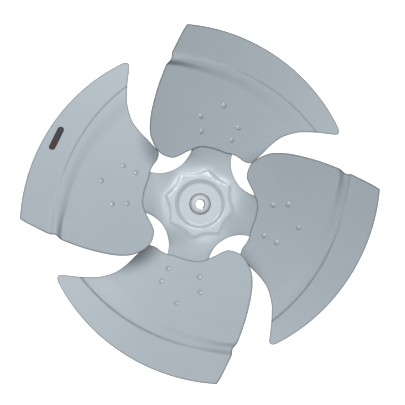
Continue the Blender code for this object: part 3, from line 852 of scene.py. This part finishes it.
def mottle_group():
    """Unevenness of a film: a slow drift about one half, a mask of specks and a fine height."""
    group, source, sink = node_group(
        "Paint film", [("Vector", 'NodeSocketVector', (0.0, 0.0, 0.0))],
        [("Drift", 'NodeSocketFloat'), ("Speck", 'NodeSocketFloat'), ("Height", 'NodeSocketFloat')])
    vector = source.outputs["Vector"]
    slow = add_noise(group, vector, DRIFT_SCALES[0], 2.0, 0.5)
    cloud = add_noise(group, vector, DRIFT_SCALES[1], 3.0, 0.55)
    drift = add_math(group, 'ADD', add_math(group, 'MULTIPLY', slow, 0.6),
                     add_math(group, 'MULTIPLY', cloud, 0.4))
    speck = past_level(group, add_noise(group, vector, SPECK_SCALE, 2.0, 0.6), SPECK_LEVEL, 6.0)
    peel = add_noise(group, vector, PEEL_SCALE, 2.0, 0.5)
    group.links.new(drift, sink.inputs["Drift"])
    group.links.new(speck, sink.inputs["Speck"])
    group.links.new(peel, sink.inputs["Height"])
    return group


def edge_shade_group():
    """Painted shade along an edge, in patches, and bare metal where the edge is worn."""
    group, source, sink = node_group(
        "Edge rub", [("Vector", 'NodeSocketVector', (0.0, 0.0, 0.0)),
                     ("Rim", 'NodeSocketFloat', 0.0), ("Amount", 'NodeSocketFloat', 0.5)],
        [("Shade", 'NodeSocketFloat'), ("Bare", 'NodeSocketFloat')])
    patch = add_noise(group, source.outputs["Vector"], EDGE_PATCH_SCALE, 3.0, 0.6)
    rim = source.outputs["Rim"]
    broken = add_math(group, 'MULTIPLY', rim, add_math(group, 'ADD', patch, 0.5))
    # Painted shade along the rim, broken into patches
    shade = add_math(group, 'MULTIPLY', broken, source.outputs["Amount"], clamp=True)
    bare = add_math(group, 'MULTIPLY', past_level(group, patch, WORN_LEVEL, 9.0),
                    past_level(group, rim, BARE_RIM_LEVEL, 5.0))
    group.links.new(shade, sink.inputs["Shade"])
    group.links.new(bare, sink.inputs["Bare"])
    return group


def place_group(tree, group, **values):
    """A shader node group in a material, with values or links for its sockets."""
    node = tree.nodes.new('ShaderNodeGroup')
    node.node_tree = group
    for label, value in values.items():
        socket = node.inputs[label.capitalize()]
        if isinstance(value, (int, float)):
            socket.default_value = value
        else:
            tree.links.new(value, socket)
    return node


def shared_group(name, build):
    """The node group of this name, built only once."""
    return bpy.data.node_groups.get(name) or build()


def new_material(name, roughness, metallic=0.0):
    """New material, its tree and shader, and the vector of its object coordinates."""
    material = bpy.data.materials.new(name)
    material.use_nodes = True
    tree = material.node_tree
    shader = tree.nodes["Principled BSDF"]
    shader.inputs["Roughness"].default_value = roughness
    shader.inputs["Metallic"].default_value = metallic
    coordinates = tree.nodes.new('ShaderNodeTexCoord')
    return material, tree, shader, coordinates.outputs["Object"]


def add_bump(tree, shader, height, strength, distance):
    """Fine relief on the surface from a height."""
    bump = tree.nodes.new('ShaderNodeBump')
    bump.inputs["Strength"].default_value = strength
    bump.inputs["Distance"].default_value = distance
    tree.links.new(height, bump.inputs["Height"])
    tree.links.new(bump.outputs["Normal"], shader.inputs["Normal"])


def mesh_value(tree, name):
    """Value that the mesh carries at its points."""
    node = tree.nodes.new('ShaderNodeAttribute')
    node.attribute_name = name
    return node.outputs["Fac"]


def shaft_group():
    """Mask that rises from 0 to 1 over a width, from a distance to the shaft outwards."""
    group, source, sink = node_group(
        "Shaft distance", [("Vector", 'NodeSocketVector', (0.0, 0.0, 0.0)),
                           ("Start", 'NodeSocketFloat', 0.05), ("Width", 'NodeSocketFloat', 0.01)],
        [("Past", 'NodeSocketFloat')])
    flat = group.nodes.new('ShaderNodeVectorMath')
    flat.operation = 'MULTIPLY'
    flat.inputs[1].default_value = (1.0, 1.0, 0.0)
    group.links.new(source.outputs["Vector"], flat.inputs[0])
    length = group.nodes.new('ShaderNodeVectorMath')
    length.operation = 'LENGTH'
    group.links.new(flat.outputs["Vector"], length.inputs[0])
    beyond = add_math(group, 'SUBTRACT', length.outputs["Value"], source.outputs["Start"])
    past = add_math(group, 'DIVIDE', beyond, source.outputs["Width"], clamp=True)
    group.links.new(past, sink.inputs["Past"])
    return group


def past_distance(tree, vector, start, width):
    """Mask of the surface beyond a distance from the shaft."""
    node = place_group(tree, shared_group("Shaft distance", shaft_group), vector=vector,
                       start=start, width=width)
    return node.outputs["Past"]


def shaded(colour, share):
    """The colour times a share, kept within 1."""
    return tuple(min(1.0, share * part) for part in colour)


def foot_shadow(tree, vector, base, colour, amount):
    """Painted shadow of the boss: darkens the spider's paint round its foot."""
    past = past_distance(tree, vector, FOOT_START, FOOT_WIDTH)
    painted_shadow = add_math(tree, 'MULTIPLY', add_math(tree, 'SUBTRACT', 1.0, past), amount)
    return add_mix(tree, painted_shadow, base, shaded(colour, FOOT_SHADOW_SHARE))


def sheen_crown_matt_arms(tree, vector, base, rough, extra):
    """Colour and roughness of the spider: a glossy crown lightened by painted sheen, and matt arms."""
    past = past_distance(tree, vector, MATT_START, MATT_WIDTH)
    rough = add_math(tree, 'ADD', rough, add_math(tree, 'MULTIPLY', past, extra))
    # Painted sheen: the crown's colour is made lighter than the arms'
    sheen_lit_crown = add_mix(tree, 1.0, base, (CROWN_SHEEN_GAIN,) * 3, 'MULTIPLY')
    return add_mix(tree, past, sheen_lit_crown, base), rough


def painted(name, colour, roughness, peel=0.35, edge_shade=0.5, painted_shadow=0.0, arm_roughness=None):
    """Paint with slow drift, fine dust specks, orange peel, painted shade along its edges and bare worn
    edges.
    """
    known = bpy.data.materials.get(name)
    if known:
        return known
    material, tree, shader, vector = new_material(name, roughness)
    film = place_group(tree, shared_group("Paint film", mottle_group), vector=vector)
    edge = place_group(tree, shared_group("Edge rub", edge_shade_group), vector=vector,
                       rim=mesh_value(tree, "rim"), amount=edge_shade)
    drift = film.outputs["Drift"]
    base = add_mix(tree, drift, shaded(colour, PAINT_DARK), shaded(colour, PAINT_LIGHT))
    # Painted shade along the edges and along the bead's crease
    base = add_mix(tree, edge.outputs["Shade"], base, shaded(colour, EDGE_SHADE_SHARE))
    speck = add_math(tree, 'MULTIPLY', film.outputs["Speck"], SPECK_AMOUNT)
    base = add_mix(tree, speck, base, shaded(colour, SPECK_SHADE))
    base = add_mix(tree, edge.outputs["Bare"], base, BARE_METAL)
    change = add_math(tree, 'MULTIPLY', add_math(tree, 'SUBTRACT', drift, 0.5), ROUGHNESS_DRIFT)
    rough = add_math(tree, 'ADD', change, roughness)
    # Painted shadow of the boss round its foot
    if painted_shadow:
        base = foot_shadow(tree, vector, base, colour, painted_shadow)
    if arm_roughness is not None:
        # Painted sheen on the crown, and matt arms
        base, rough = sheen_crown_matt_arms(tree, vector, base, rough, arm_roughness - roughness)
    tree.links.new(base, shader.inputs["Base Color"])
    tree.links.new(rough, shader.inputs["Roughness"])
    add_bump(tree, shader, film.outputs["Height"], peel, PEEL_DEPTH)
    return material


def blade_paint(finish):
    # Strong painted shade along the blades' edges
    return painted("blue_grey_paint", tuple(finish.paint), finish.paint_roughness, edge_shade=0.9)


def spider_paint(finish):
    # Painted shadow round the boss's foot and painted sheen on the crown
    return painted("spider_paint", tuple(finish.paint), finish.crown_roughness,
                   painted_shadow=finish.foot_shadow, arm_roughness=finish.arm_roughness)


def rivet_paint(finish):
    return painted("rivet_paint_coat", tuple(finish.paint), RIVET_ROUGHNESS, peel=0.2, edge_shade=0.0)


def hub_paint(finish):
    return painted("hub_thin_paint", tuple(finish.hub_metal), HUB_ROUGHNESS, peel=0.3, edge_shade=0.0)


def screw_steel(finish):
    """Black oxide steel of the set screws."""
    material, tree, shader, vector = new_material("black_oxide", SCREW_ROUGHNESS, SCREW_METALLIC)
    film = place_group(tree, shared_group("Paint film", mottle_group), vector=vector)
    dark, light = (shaded(finish.screw_metal, share) for share in SCREW_SHADES)
    base = add_mix(tree, film.outputs["Drift"], dark, light)
    tree.links.new(base, shader.inputs["Base Color"])
    add_bump(tree, shader, film.outputs["Height"], 0.3, SCREW_PEEL_DEPTH)
    return material


def label_print(finish):
    """Capsule label: black border, dark grey upper half and dark red-brown lower half."""
    material, tree, shader, vector = new_material("label_film_print", LABEL_ROUGHNESS)
    film = place_group(tree, shared_group("Paint film", mottle_group), vector=vector)
    end = add_math(tree, 'MULTIPLY', mesh_value(tree, "end"), LABEL_HALVES_SHARPNESS)
    half = add_math(tree, 'ADD', end, 0.5, clamp=True)
    halves = add_mix(tree, half, tuple(finish.label_red), tuple(finish.label_dark))
    speck = add_math(tree, 'MULTIPLY', film.outputs["Speck"], LABEL_SPECK_AMOUNT)
    halves = add_mix(tree, speck, halves, shaded(finish.label_dark, LABEL_SPECK_SHADE))
    border = past_level(tree, mesh_value(tree, "rim"), LABEL_BORDER_LEVEL, LABEL_BORDER_SHARPNESS)
    base = add_mix(tree, border, halves, tuple(finish.label_border))
    tree.links.new(base, shader.inputs["Base Color"])
    add_bump(tree, shader, film.outputs["Height"], 0.2, LABEL_PEEL_DEPTH)
    return material


class AXIALFAN_OT_blades(Operator):
    """Make the four pressed blades with their beads and rounded edges"""
    bl_idname = "axial_fan.blades"
    bl_label = "Blades"

    def execute(self, context):
        sizes = context.scene.axial_fan_sizes
        finish = context.scene.axial_fan_finish

        def middle(plan):
            return blade_middle(sizes, plan)

        # The bead's crease gets painted shade through the sheet's rim mask
        mesh = sheet_mesh("blade", [blade_loop(sizes)], blade_fill(), middle,
                          sizes.blade_thickness, bead_crease_shade)
        material = blade_paint(finish)
        for index in range(BLADE_COUNT):
            add_piece(f"pressed_blade_{index + 1}", placed(mesh, index, sizes),
                      [f"blade_{index + 1}"], material)
        return {'FINISHED'}


class AXIALFAN_OT_spider(Operator):
    """Make the dished spider with its raised crown and four arms"""
    bl_idname = "axial_fan.spider"
    bl_label = "Spider"

    def execute(self, context):
        sizes = context.scene.axial_fan_sizes
        finish = context.scene.axial_fan_finish
        lift = fan_lift()

        def middle(plan):
            return spider_middle(sizes, plan) + (0.0, 0.0, lift)

        loops = [spider_loop(sizes), ring(SPIDER_HOLE_RADIUS, SPIDER_HOLE_SIDES)]
        mesh = sheet_mesh("spider", loops, spider_fill(), middle, sizes.spider_thickness)
        add_piece("dished_spider", mesh, ["spider"], spider_paint(finish))
        return {'FINISHED'}


class AXIALFAN_OT_rivets(Operator):
    """Make the five round-head rivets of each blade"""
    bl_idname = "axial_fan.rivets"
    bl_label = "Rivets"

    def profile(self, sizes):
        """Half outline of a rivet, from the top of its head to the end of its tail."""
        seat = 0.5 * sizes.blade_thickness + RIVET_SEAT_GAP
        tail = -0.5 * sizes.blade_thickness - sizes.spider_thickness - 2.0 * sizes.clearance
        head, rise = sizes.rivet_head, sizes.rivet_rise
        line = [(0.0, seat + rise)]
        for k in range(1, RIVET_DOME_STEPS + 1):
            angle = math.radians(90.0 - RIVET_DOME_STEP_ANGLE * k)
            line.append((head * math.cos(angle), seat + rise * math.sin(angle)))
        shank, upset = RIVET_SHANK_SHARE * head, RIVET_TAIL_SHARE * head
        line += [(RIVET_SEAT_SHARE * head, seat), (shank, seat), (shank, tail)]
        line.append((upset - RIVET_TAIL_BEVEL, tail))
        centre = (upset - RIVET_TAIL_FILLET, tail - RIVET_TAIL_FILLET_DROP)
        line += arc(centre, RIVET_TAIL_FILLET, 30.0, -90.0, 5)
        return line + [(0.0, tail - RIVET_TAIL_HEIGHT)]

    def execute(self, context):
        sizes = context.scene.axial_fan_sizes
        finish = context.scene.axial_fan_finish
        rivet = turned_mesh("rivet", self.profile(sizes), RIVET_SIDES)
        parts = []
        for radius, degrees in RIVET_PLACES:
            plan = polar(radius, math.degrees(sizes.arm_angle) + degrees)
            seat = Vector((plan[0], plan[1], float(blade_height(sizes, plan))))
            tilt = Vector(blade_normal(sizes, plan)).to_track_quat('Z', 'Y').to_matrix().to_4x4()
            part = rivet.copy()
            part.transform(Matrix.Translation(seat) @ tilt)
            parts.append(part)
        mesh = joined("rivets", parts)
        material = rivet_paint(finish)
        for index in range(BLADE_COUNT):
            nodes = [f"rivet_{index + 1}_{k + 1}" for k in range(len(RIVET_PLACES))]
            add_piece(f"blade_rivets_{index + 1}", placed(mesh, index, sizes), nodes,
                      material)
        return {'FINISHED'}


class AXIALFAN_OT_hub(Operator):
    """Make the turned hub with its flange, bore and keyway"""
    bl_idname = "axial_fan.hub"
    bl_label = "Hub"

    def boss_line(self, sizes, front):
        """Face and chamfered side of the boss, down to the foot of its chamfer."""
        boss = sizes.hub_radius
        width, depth = BOSS_CHAMFER
        return [(sizes.bore_radius + HUB_CHAMFER, front), (boss - width - BOSS_FRONT_BREAK[0], front),
                (boss - width, front - BOSS_FRONT_BREAK[1]),
                (boss - BOSS_SIDE_BREAK[0], front - depth + BOSS_SIDE_BREAK[1]), (boss, front - depth)]

    def profile(self, sizes, lift):
        """Closed half outline of the hub: boss, flange, barrel and bore."""
        thick = 0.5 * sizes.spider_thickness
        front = lift + DISC_HEIGHT + thick + sizes.standout
        flange = lift + DISC_HEIGHT - thick - sizes.clearance
        shelf = flange - HUB_FLANGE_THICKNESS
        back = lift + HUB_BACK_HEIGHT
        bore, barrel, fillet = sizes.bore_radius, HUB_BARREL_RADIUS, HUB_BARREL_FILLET
        rim, edge = HUB_FLANGE_RADIUS - HUB_FLANGE_FILLET, HUB_FLANGE_FILLET
        line = self.boss_line(sizes, front) + [(sizes.hub_radius, flange)]
        line += arc((rim, flange - edge), edge, 90.0, 0.0, 4)
        line += arc((rim, shelf + edge), edge, 0.0, -90.0, 4)
        line += arc((barrel + fillet, shelf - fillet), fillet, 90.0, 180.0, 4)
        line += [(barrel, back + HUB_CHAMFER), (barrel - HUB_CHAMFER, back), (bore + HUB_CHAMFER, back)]
        return line + [(bore, back + HUB_CHAMFER), (bore, front - HUB_CHAMFER)]

    def execute(self, context):
        sizes = context.scene.axial_fan_sizes
        finish = context.scene.axial_fan_finish
        lift = fan_lift()
        mesh = turned_mesh("hub", self.profile(sizes, lift), HUB_SIDES)
        hub = add_piece("turned_hub", mesh, ["hub"], hub_paint(finish))
        cut_keyway(hub, sizes, lift)
        for degrees in SET_SCREW_ANGLES:
            cut_screw_hole(hub, sizes, lift, degrees)
        return {'FINISHED'}


def apply_cut(target, cutter):
    """Takes the cutter's solid out of the target for good."""
    modifier = target.modifiers.new("cut", 'BOOLEAN')
    modifier.operation = 'DIFFERENCE'
    modifier.solver = 'EXACT'
    modifier.object = cutter
    graph = bpy.context.evaluated_depsgraph_get()
    target.data = bpy.data.meshes.new_from_object(target.evaluated_get(graph))
    target.modifiers.clear()
    bpy.data.objects.remove(cutter, do_unlink=True)
    smooth_turned(target.data)


def add_cutter(shape):
    """Object that holds a cutter's shape until the cut is made."""
    mesh = bpy.data.meshes.new("cutter")
    shape.to_mesh(mesh)
    shape.free()
    cutter = bpy.data.objects.new("cutter", mesh)
    bpy.context.scene.collection.objects.link(cutter)
    return cutter


def cut_keyway(hub, sizes, lift):
    """Cuts the keyway from inside the bore to its reach, through the whole hub."""
    start = 0.5 * sizes.bore_radius
    turn = Matrix.Rotation(math.radians(KEYWAY_ANGLE), 4, 'Z')
    middle = Matrix.Translation((0.5 * (start + KEYWAY_REACH), 0.0, lift + KEYWAY_CUT_HEIGHT))
    size = Matrix.Diagonal((KEYWAY_REACH - start, KEYWAY_WIDTH, KEYWAY_CUT_LENGTH, 1.0))
    shape = bmesh.new()
    bmesh.ops.create_cube(shape, size=1.0, matrix=turn @ middle @ size)
    apply_cut(hub, add_cutter(shape))


def across_barrel(degrees, distance, lift):
    """Matrix that lays a Z cylinder along a radius of the hub at set-screw height."""
    turn = Matrix.Rotation(math.radians(degrees), 4, 'Z')
    out = Matrix.Translation((distance, 0.0, lift + SET_SCREW_HEIGHT))
    return turn @ out @ Matrix.Rotation(math.radians(90.0), 4, 'Y')


def cut_screw_hole(hub, sizes, lift, degrees):
    """Cuts the hole of one set screw from the bore through the barrel's wall."""
    radius = SET_SCREW_RADIUS + sizes.clearance
    shape = bmesh.new()
    bmesh.ops.create_cone(shape, cap_ends=True, segments=SCREW_HOLE_SIDES, radius1=radius,
                          radius2=radius, depth=SCREW_HOLE_LENGTH,
                          matrix=across_barrel(degrees, SCREW_HOLE_MIDDLE, lift))
    apply_cut(hub, add_cutter(shape))


class AXIALFAN_OT_set_screws(Operator):
    """Make the two headless set screws in the hub's barrel"""
    bl_idname = "axial_fan.set_screws"
    bl_label = "Set screws"

    def profile(self):
        """Closed half outline of a screw, with its socket at the outer end."""
        half, socket, radius = 0.5 * SET_SCREW_LENGTH, SET_SCREW_SOCKET_RADIUS, SET_SCREW_RADIUS
        outer, inner = SET_SCREW_CHAMFERS
        floor = half - SET_SCREW_SOCKET_DEPTH
        return [(socket, half), (radius - outer, half), (radius, half - outer),
                (radius, inner - half), (radius - inner, -half), (0.0, -half), (0.0, floor),
                (socket, floor)]

    def execute(self, context):
        lift = fan_lift()
        material = screw_steel(context.scene.axial_fan_finish)
        screw = turned_mesh("set_screw", self.profile(), SET_SCREW_SIDES)
        distance = HUB_BARREL_RADIUS - SET_SCREW_RECESS - 0.5 * SET_SCREW_LENGTH
        for number, degrees in enumerate(SET_SCREW_ANGLES, 1):
            mesh = screw.copy()
            mesh.transform(across_barrel(degrees, distance, lift))
            add_piece(f"headless_set_screw_{number}", mesh, [f"set_screw_{number}"],
                      material)
        return {'FINISHED'}


class AXIALFAN_OT_label(Operator):
    """Make the small bare capsule label on the left blade"""
    bl_idname = "axial_fan.label"
    bl_label = "Label"

    def capsule(self, radius, run):
        """Outline of the capsule, its length along X."""
        ends = np.linspace(-90.0, 90.0, LABEL_END_POINTS)
        line = [polar(radius, ends) + (run, 0.0), polar(radius, ends + 180.0) - (run, 0.0)]
        return spread(np.vstack(line), LABEL_EDGE_SPACING)

    def grid(self):
        """Points in rows over the whole capsule."""
        along, across = (np.arange(-half, half, LABEL_GRID_SPACING) for half in LABEL_GRID)
        return np.stack(np.meshgrid(along, across), axis=-1).reshape(-1, 2)

    def execute(self, context):
        sizes = context.scene.axial_fan_sizes
        run = 0.5 * (sizes.label_length - sizes.label_width)
        turn = row_turn(math.radians(LABEL_ANGLE + LABEL_TURN))
        centre = polar(LABEL_RADIUS, LABEL_ANGLE)
        loop = self.capsule(0.5 * sizes.label_width, run) @ turn + centre
        rise = 0.5 * sizes.blade_thickness + LABEL_RISE

        def middle(plan):
            return blade_middle(sizes, plan) + rise * blade_normal(sizes, plan)

        mesh = sheet_mesh("label", [loop], self.grid() @ turn + centre, middle, LABEL_THICKNESS)
        where = np.zeros(3 * len(mesh.vertices))
        mesh.vertices.foreach_get("co", where)
        local = (where.reshape(-1, 3)[:, :2] - centre) @ turn.T
        add_value(mesh, "end", -local[:, 0] / run)
        add_piece("capsule_label", placed(mesh, LABEL_BLADE - 1, sizes), ["label_plate"],
                  label_print(context.scene.axial_fan_finish))
        return {'FINISHED'}


class AXIALFAN_OT_stage(Operator):
    """Set up the plain floor, the soft lights and the camera"""
    bl_idname = "axial_fan.stage"
    bl_label = "Stage"

    def add_floor(self, stage):
        """Plain floor that also glows where the camera sees it, as a lit backdrop does."""
        half = FLOOR_HALF_WIDTH
        mesh = bpy.data.meshes.new("floor")
        mesh.from_pydata([(-half, -half, 0.0), (half, -half, 0.0), (half, half, 0.0),
                          (-half, half, 0.0)], [], [(0, 1, 2, 3)])
        floor = bpy.data.objects.new("floor", mesh)
        floor.location.z = -FLOOR_GAP
        bpy.context.scene.collection.objects.link(floor)
        material, tree, shader, _ = new_material("plain_floor", FLOOR_ROUGHNESS)
        shader.inputs["Base Color"].default_value = (*stage.floor, 1.0)
        shader.inputs["Emission Color"].default_value = (1.0, 1.0, 1.0, 1.0)
        seen = tree.nodes.new('ShaderNodeLightPath').outputs["Is Camera Ray"]
        glow = add_math(tree, 'MULTIPLY', seen, stage.floor_glow)
        tree.links.new(glow, shader.inputs["Emission Strength"])
        shader.inputs["Specular IOR Level"].default_value = FLOOR_SPECULAR
        mesh.materials.append(material)

    def add_light(self, name, azimuth, tilt, size, power, lift):
        """Round soft light aimed at the fan from a direction about the shaft axis."""
        data = bpy.data.lights.new(name, 'AREA')
        data.shape = 'DISK'
        data.size = size
        data.energy = power
        light = bpy.data.objects.new(name, data)
        away = Vector((math.sin(tilt) * math.cos(azimuth), math.sin(tilt) * math.sin(azimuth),
                       math.cos(tilt)))
        light.location = LIGHT_DISTANCE * away + Vector((0.0, 0.0, lift))
        light.rotation_euler = (-away).to_track_quat('-Z', 'Y').to_euler()
        bpy.context.scene.collection.objects.link(light)

    def add_camera(self, stage, sizes, lift):
        """Camera that looks along the shaft, a little off axis as in the photograph."""
        data = bpy.data.cameras.new("camera")
        data.sensor_width = SENSOR_WIDTH
        data.lens = stage.lens
        camera = bpy.data.objects.new("camera", data)
        turn = Matrix.Rotation(math.radians(CAMERA_PITCH), 3, 'X')
        turn = turn @ Matrix.Rotation(math.radians(CAMERA_YAW), 3, 'Y')
        back = turn.transposed()
        across, up = (-share * sizes.tip_radius for share in CAMERA_SHIFT)
        offset = back @ Vector((across, up, stage.camera_distance))
        place = back.to_4x4()
        place.translation = Vector((0.0, 0.0, lift)) + offset
        camera.matrix_world = place
        bpy.context.scene.collection.objects.link(camera)
        bpy.context.scene.camera = camera

    def add_sky(self, stage):
        """Even white light from all round."""
        world = bpy.data.worlds.new("soft_sky")
        world.use_nodes = True
        background = world.node_tree.nodes["Background"]
        background.inputs["Color"].default_value = (1.0, 1.0, 1.0, 1.0)
        background.inputs["Strength"].default_value = stage.sky
        bpy.context.scene.world = world

    def execute(self, context):
        stage = context.scene.axial_fan_stage
        sizes = context.scene.axial_fan_sizes
        lift = fan_lift()
        self.add_floor(stage)
        for name, side in (("left_softbox", 1.0), ("right_softbox", -1.0)):
            azimuth = stage.softbox_azimuth + side * stage.softbox_spread
            self.add_light(name, azimuth, stage.softbox_tilt, stage.softbox_size,
                           stage.softbox_power, lift)
        self.add_light("front", stage.front_azimuth, stage.front_tilt, stage.front_size,
                       stage.front_power, lift)
        self.add_sky(stage)
        context.scene.view_settings.view_transform = 'Standard'
        self.add_camera(stage, sizes, lift)
        return {'FINISHED'}


class AXIALFAN_PT_sidebar(Panel):
    """Steps that dress the fan, with the values they use"""
    bl_idname = "AXIALFAN_PT_sidebar"
    bl_label = "Axial fan"
    bl_space_type = 'VIEW_3D'
    bl_region_type = 'UI'
    bl_category = "Axial Fan"

    def draw(self, context):
        for item in PIECES:
            self.layout.operator(item.bl_idname)
        for group in ("axial_fan_sizes", "axial_fan_finish", "axial_fan_stage"):
            values = getattr(context.scene, group)
            box = self.layout.box()
            for name in values.bl_rna.properties.keys():
                if name not in ("name", "rna_type"):
                    box.prop(values, name)


PIECES = (AXIALFAN_OT_blades, AXIALFAN_OT_spider, AXIALFAN_OT_rivets, AXIALFAN_OT_hub,
          AXIALFAN_OT_set_screws, AXIALFAN_OT_label, AXIALFAN_OT_stage)
GROUPS = (AxialFanSizes, AxialFanFinish, AxialFanStage)


def register():
    for item in GROUPS + PIECES + (AXIALFAN_PT_sidebar,):
        bpy.utils.register_class(item)
    bpy.types.Scene.axial_fan_sizes = PointerProperty(type=AxialFanSizes)
    bpy.types.Scene.axial_fan_finish = PointerProperty(type=AxialFanFinish)
    bpy.types.Scene.axial_fan_stage = PointerProperty(type=AxialFanStage)


def unregister():
    del bpy.types.Scene.axial_fan_stage
    del bpy.types.Scene.axial_fan_finish
    del bpy.types.Scene.axial_fan_sizes
    for item in reversed(GROUPS + PIECES + (AXIALFAN_PT_sidebar,)):
        bpy.utils.unregister_class(item)


def main():
    register()
    bpy.ops.axial_fan.blades()
    bpy.ops.axial_fan.spider()
    bpy.ops.axial_fan.rivets()
    bpy.ops.axial_fan.hub()
    bpy.ops.axial_fan.set_screws()
    bpy.ops.axial_fan.label()
    bpy.ops.axial_fan.stage()


if __name__ == "__main__":
    main()
